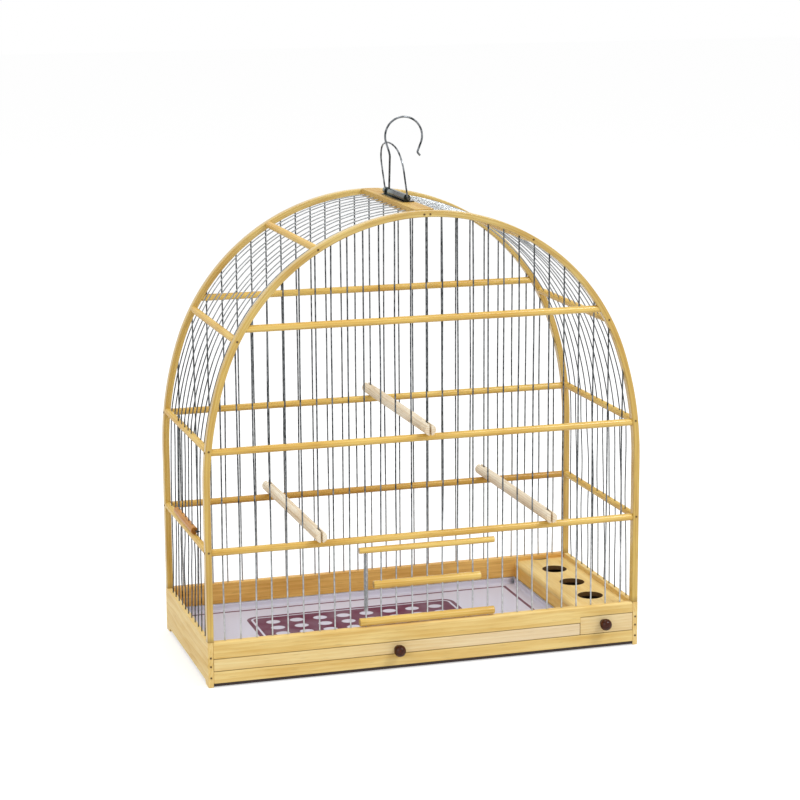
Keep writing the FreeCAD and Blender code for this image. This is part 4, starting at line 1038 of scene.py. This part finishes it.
class CAGE_OT_side_door(bpy.types.Operator):
    """Lift-up door of the left side: stained bar, five wires and two wire eyes"""
    bl_idname = "cage.side_door"
    bl_label = "Side door"

    def execute(self, context):
        round_bar("side_door_bar", "side_door", "stained_dowel", (1.7, 0.02, 0.02))
        y = np.arange(1 - SIDE_DOOR_SPACES, SIDE_DOOR_SPACES) * SIDE_PITCH
        foot, head = side_line()
        lean = (head[0] - foot[0]) / (head[1] - foot[1])
        ends = [rows(-(foot[0] + lean * (z - foot[1]) + SIDE_DOOR_OFFSET), y, z)
                for z in (middle_of("side_door_bar")[2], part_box("side_door_wires")[1][2])]
        straight_wires("side_door_wires_drawn", "side_door_wires", "side_door", *ends,
                       np.random.default_rng(9), context.scene.cage_sizes.wire_bow / 3, thin=True)
        repaint("thin_galvanised_wire", "side_door_loops")
        return {"FINISHED"}


class CAGE_OT_tray(bpy.types.Operator):
    """Tray: front board, sheet pan, paper and knob"""
    bl_idname = "cage.tray"
    bl_label = "Tray"

    def execute(self, context):
        board("tray_front_board", "tray_front", "X", "tray", "pale_pine", gap_shaded=True)
        turned_knob("tray_knob_turned", "tray_knob", "tray")
        repaint("mill_sheet", "tray_pan")
        self.paper(context.scene.cage_sizes)
        return {"FINISHED"}

    def paper(self, sizes):
        """Paper sheet: flat on the pan's floor with low crossed waves, its four margins turned up at the rim.

        Along each way the sheet runs down the rim, round a quarter circle, over the floor and up again.
        The corners, where two margins would meet, are cut out.
        """
        low, high = (corner[:2] for corner in box("tray_pan"))
        low = low + PAPER_ROOM
        high = high - PAPER_ROOM
        x, x_rise, x_margin = self.turned_up(low[0], high[0], sizes, PAPER_STATIONS[0])
        y, y_rise, y_margin = self.turned_up(low[1], high[1], sizes, PAPER_STATIONS[1])
        rise = np.maximum(x_rise[:, None], y_rise[None, :])
        u, v = np.meshgrid(x, y, indexing="ij")
        wave = np.sin(22 * u + 11 * v) * np.sin(28 * v + 1.1) + 0.5 * np.sin(41 * u - 29 * v)
        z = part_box("tray_liner")[0][2] + rise + sizes.paper_wave * (1.5 + wave) / 2
        index = np.arange(u.size).reshape(u.shape)
        faces = np.stack([index[:-1, :-1], index[1:, :-1], index[1:, 1:], index[:-1, 1:]], axis=-1)
        kept = ~(x_margin[:, None] & y_margin[None, :])
        made = rows(u, v, z), faces[kept].tolist()
        piece = place_mesh("tray_paper", made, "tray_liner", "tray", "tray_paper")
        drop_loose(piece)
        thick = piece.modifiers.new("paper_thickness", "SOLIDIFY")
        thick.thickness = sizes.paper_thickness
        thick.offset = 1.0

    def turned_up(self, start, end, sizes, count):
        """Places along one way, their rise, and which steps between them lie in a turned-up margin."""
        bend = sizes.paper_bend
        turn = np.linspace(0, math.pi / 2, 6)
        climb = np.linspace(sizes.paper_margin, bend, 4)[:-1]
        near = np.concatenate([np.full(len(climb), start), start + bend * (1 - np.cos(turn))])
        near_rise = np.concatenate([climb, bend * (1 - np.sin(turn))])
        middle = np.linspace(start + bend, end - bend, count)[1:-1]
        place = np.concatenate([near, middle, (start + end) - near[::-1]])
        rise = np.concatenate([near_rise, 0 * middle, near_rise[::-1]])
        steps = np.arange(len(place) - 1)
        margin = (steps < len(near) - 1) | (steps >= len(place) - len(near))
        return place, rise, margin


class CAGE_OT_seed_drawer(bpy.types.Operator):
    """Seed drawer: front board, box and knob"""
    bl_idname = "cage.seed_drawer"
    bl_label = "Seed drawer"

    def execute(self, context):
        board("seed_front_board", "seed_drawer_front", "X", "seed_drawer", "pale_pine", gap_shaded=True)
        turned_knob("seed_knob_turned", "seed_drawer_knob", "seed_drawer")
        repaint("dark_seed_box", "seed_drawer_box")
        return {"FINISHED"}


class CAGE_OT_perches(bpy.types.Operator):
    """Three raw wooden perches, slotted over the wires"""
    bl_idname = "cage.perches"
    bl_label = "Perches"

    def execute(self, context):
        repaint("raw_perch_wood", "upper_perch", "lower_left_perch", "lower_right_perch")
        return {"FINISHED"}


class CAGE_OT_hanger(bpy.types.Operator):
    """Ridge bracket with its screws, pin, bail and hook, and the frame's nails"""
    bl_idname = "cage.hanger"
    bl_label = "Hanger and nails"

    def execute(self, context):
        repaint("blued_steel", "hanger_bracket", "hanger_screws")
        repaint("bright_drawn_wire", "hanger_pin", "hanger_bail", "hanger_hook")
        repaint("nail_steel", "frame_nails")
        return {"FINISHED"}


class CAGE_OT_stage(bpy.types.Operator):
    """White floor, white room, three soft lamps and the photograph's camera"""
    bl_idname = "cage.stage"
    bl_label = "Stage"

    def execute(self, context):
        scene = context.scene
        stage = scene.cage_stage
        scene.view_settings.view_transform = "Standard"
        self.floor(scene, stage)
        self.room(scene, stage)
        for name, (size, place) in LAMPS.items():
            self.lamp(scene, name, getattr(stage, name + "_power"), size, place)
        self.camera(scene)
        return {"FINISHED"}

    def shown(self, tree):
        """One where the camera looks, straight, by reflection or through glass, and nothing elsewhere."""
        path = node(tree, "LightPath").node.outputs
        seen = node(tree, "Math", {0: path["Is Camera Ray"], 1: path["Is Glossy Ray"]}, operation="MAXIMUM")
        return node(tree, "Math", {0: seen, 1: path["Is Transmission Ray"]}, operation="MAXIMUM")

    def floor(self, scene, stage):
        """Flat floor: a square of the ground."""
        corners = [(x * FLOOR_REACH, y * FLOOR_REACH, 0) for x, y in ((-1, -1), (1, -1), (1, 1), (-1, 1))]
        mesh = bpy.data.meshes.new("floor")
        mesh.from_pydata(corners, [], [(0, 1, 2, 3)])
        made, tree = blank("studio_floor")
        plain = node(tree, "BsdfDiffuse", {"Color": tuple(stage.floor)})
        lift = node(tree, "Math", {0: self.shown(tree), 1: stage.floor_lift}, operation="MULTIPLY")
        glow = node(tree, "Emission", {"Color": WHITE, "Strength": lift})
        shader = node(tree, "AddShader", {0: plain, 1: glow})
        node(tree, "OutputMaterial", {"Surface": shader})
        mesh.materials.append(made)
        floor = bpy.data.objects.new("floor", mesh)
        scene.collection.objects.link(floor)

    def room(self, scene, stage):
        """White room: full white where the camera or a reflection looks, softer where it lights."""
        world = bpy.data.worlds.new("white_room")
        scene.world = world
        world.use_nodes = True
        tree = world.node_tree
        tree.nodes.clear()
        strength = node(tree, "MapRange", {
            "Value": self.shown(tree), "To Min": stage.world_strength, "To Max": 1.0})
        sky = node(tree, "Background", {"Color": WHITE, "Strength": strength})
        node(tree, "OutputWorld", {"Surface": sky})

    def lamp(self, scene, name, power, size, place):
        """Soft square lamp that looks at the middle of the cage."""
        light = bpy.data.lights.new(name, "AREA")
        light.energy = power
        light.size = size
        lamp = bpy.data.objects.new(name, light)
        lamp.location = place
        away = Vector(place) - Vector(LAMPS_LOOK_AT)
        lamp.rotation_euler = away.to_track_quat("Z", "Y").to_euler()
        scene.collection.objects.link(lamp)

    def camera(self, scene):
        """Camera of the photograph from its yaw to the right, pitch down and roll."""
        ahead = Vector((math.sin(CAMERA_YAW) * math.cos(CAMERA_PITCH),
                        math.cos(CAMERA_YAW) * math.cos(CAMERA_PITCH), -math.sin(CAMERA_PITCH)))
        level = Vector((math.cos(CAMERA_YAW), -math.sin(CAMERA_YAW), 0))
        above = level.cross(ahead)
        right = level * math.cos(CAMERA_ROLL) + above * math.sin(CAMERA_ROLL)
        top = above * math.cos(CAMERA_ROLL) - level * math.sin(CAMERA_ROLL)
        lens = bpy.data.cameras.new("photo_camera")
        lens.sensor_fit = "HORIZONTAL"
        lens.sensor_width = SENSOR_WIDTH
        lens.lens = CAMERA_LENS
        lens.clip_end = 50.0
        camera = bpy.data.objects.new("photo_camera", lens)
        turn = Matrix((right, top, -ahead)).transposed().to_4x4()
        camera.matrix_world = Matrix.Translation(CAMERA_PLACE) @ turn
        scene.collection.objects.link(camera)
        scene.camera = camera


class CAGE_PT_pieces(bpy.types.Panel):
    """Pieces and finishes of the bird cage"""
    bl_idname = "CAGE_PT_pieces"
    bl_label = "Bird cage"
    bl_space_type = "VIEW_3D"
    bl_region_type = "UI"
    bl_category = "Bird cage"

    def draw(self, context):
        for group in GROUPS:
            held = getattr(context.scene, group)
            column = self.layout.box()
            for key in held.__annotations__:
                column.prop(held, key)
        for each in OPERATORS:
            self.layout.operator(each.bl_idname)


GROUPS = {"cage_sizes": CageSizes, "cage_colours": CageColours, "cage_stage": CageStage}
OPERATORS = (CAGE_OT_base, CAGE_OT_arches, CAGE_OT_dowels, CAGE_OT_wires, CAGE_OT_front_door,
             CAGE_OT_side_door, CAGE_OT_tray, CAGE_OT_seed_drawer, CAGE_OT_perches, CAGE_OT_hanger,
             CAGE_OT_stage)
CLASSES = tuple(GROUPS.values()) + OPERATORS + (CAGE_PT_pieces,)


def register():
    for each in CLASSES:
        bpy.utils.register_class(each)
    for key, group in GROUPS.items():
        setattr(bpy.types.Scene, key, bpy.props.PointerProperty(type=group))


def unregister():
    for key in GROUPS:
        delattr(bpy.types.Scene, key)
    for each in reversed(CLASSES):
        bpy.utils.unregister_class(each)


def main():
    register()
    for each in OPERATORS:
        family, verb = each.bl_idname.split(".")
        getattr(getattr(bpy.ops, family), verb)()
    bpy.context.view_layer.update()


if __name__ == "__main__":
    main()
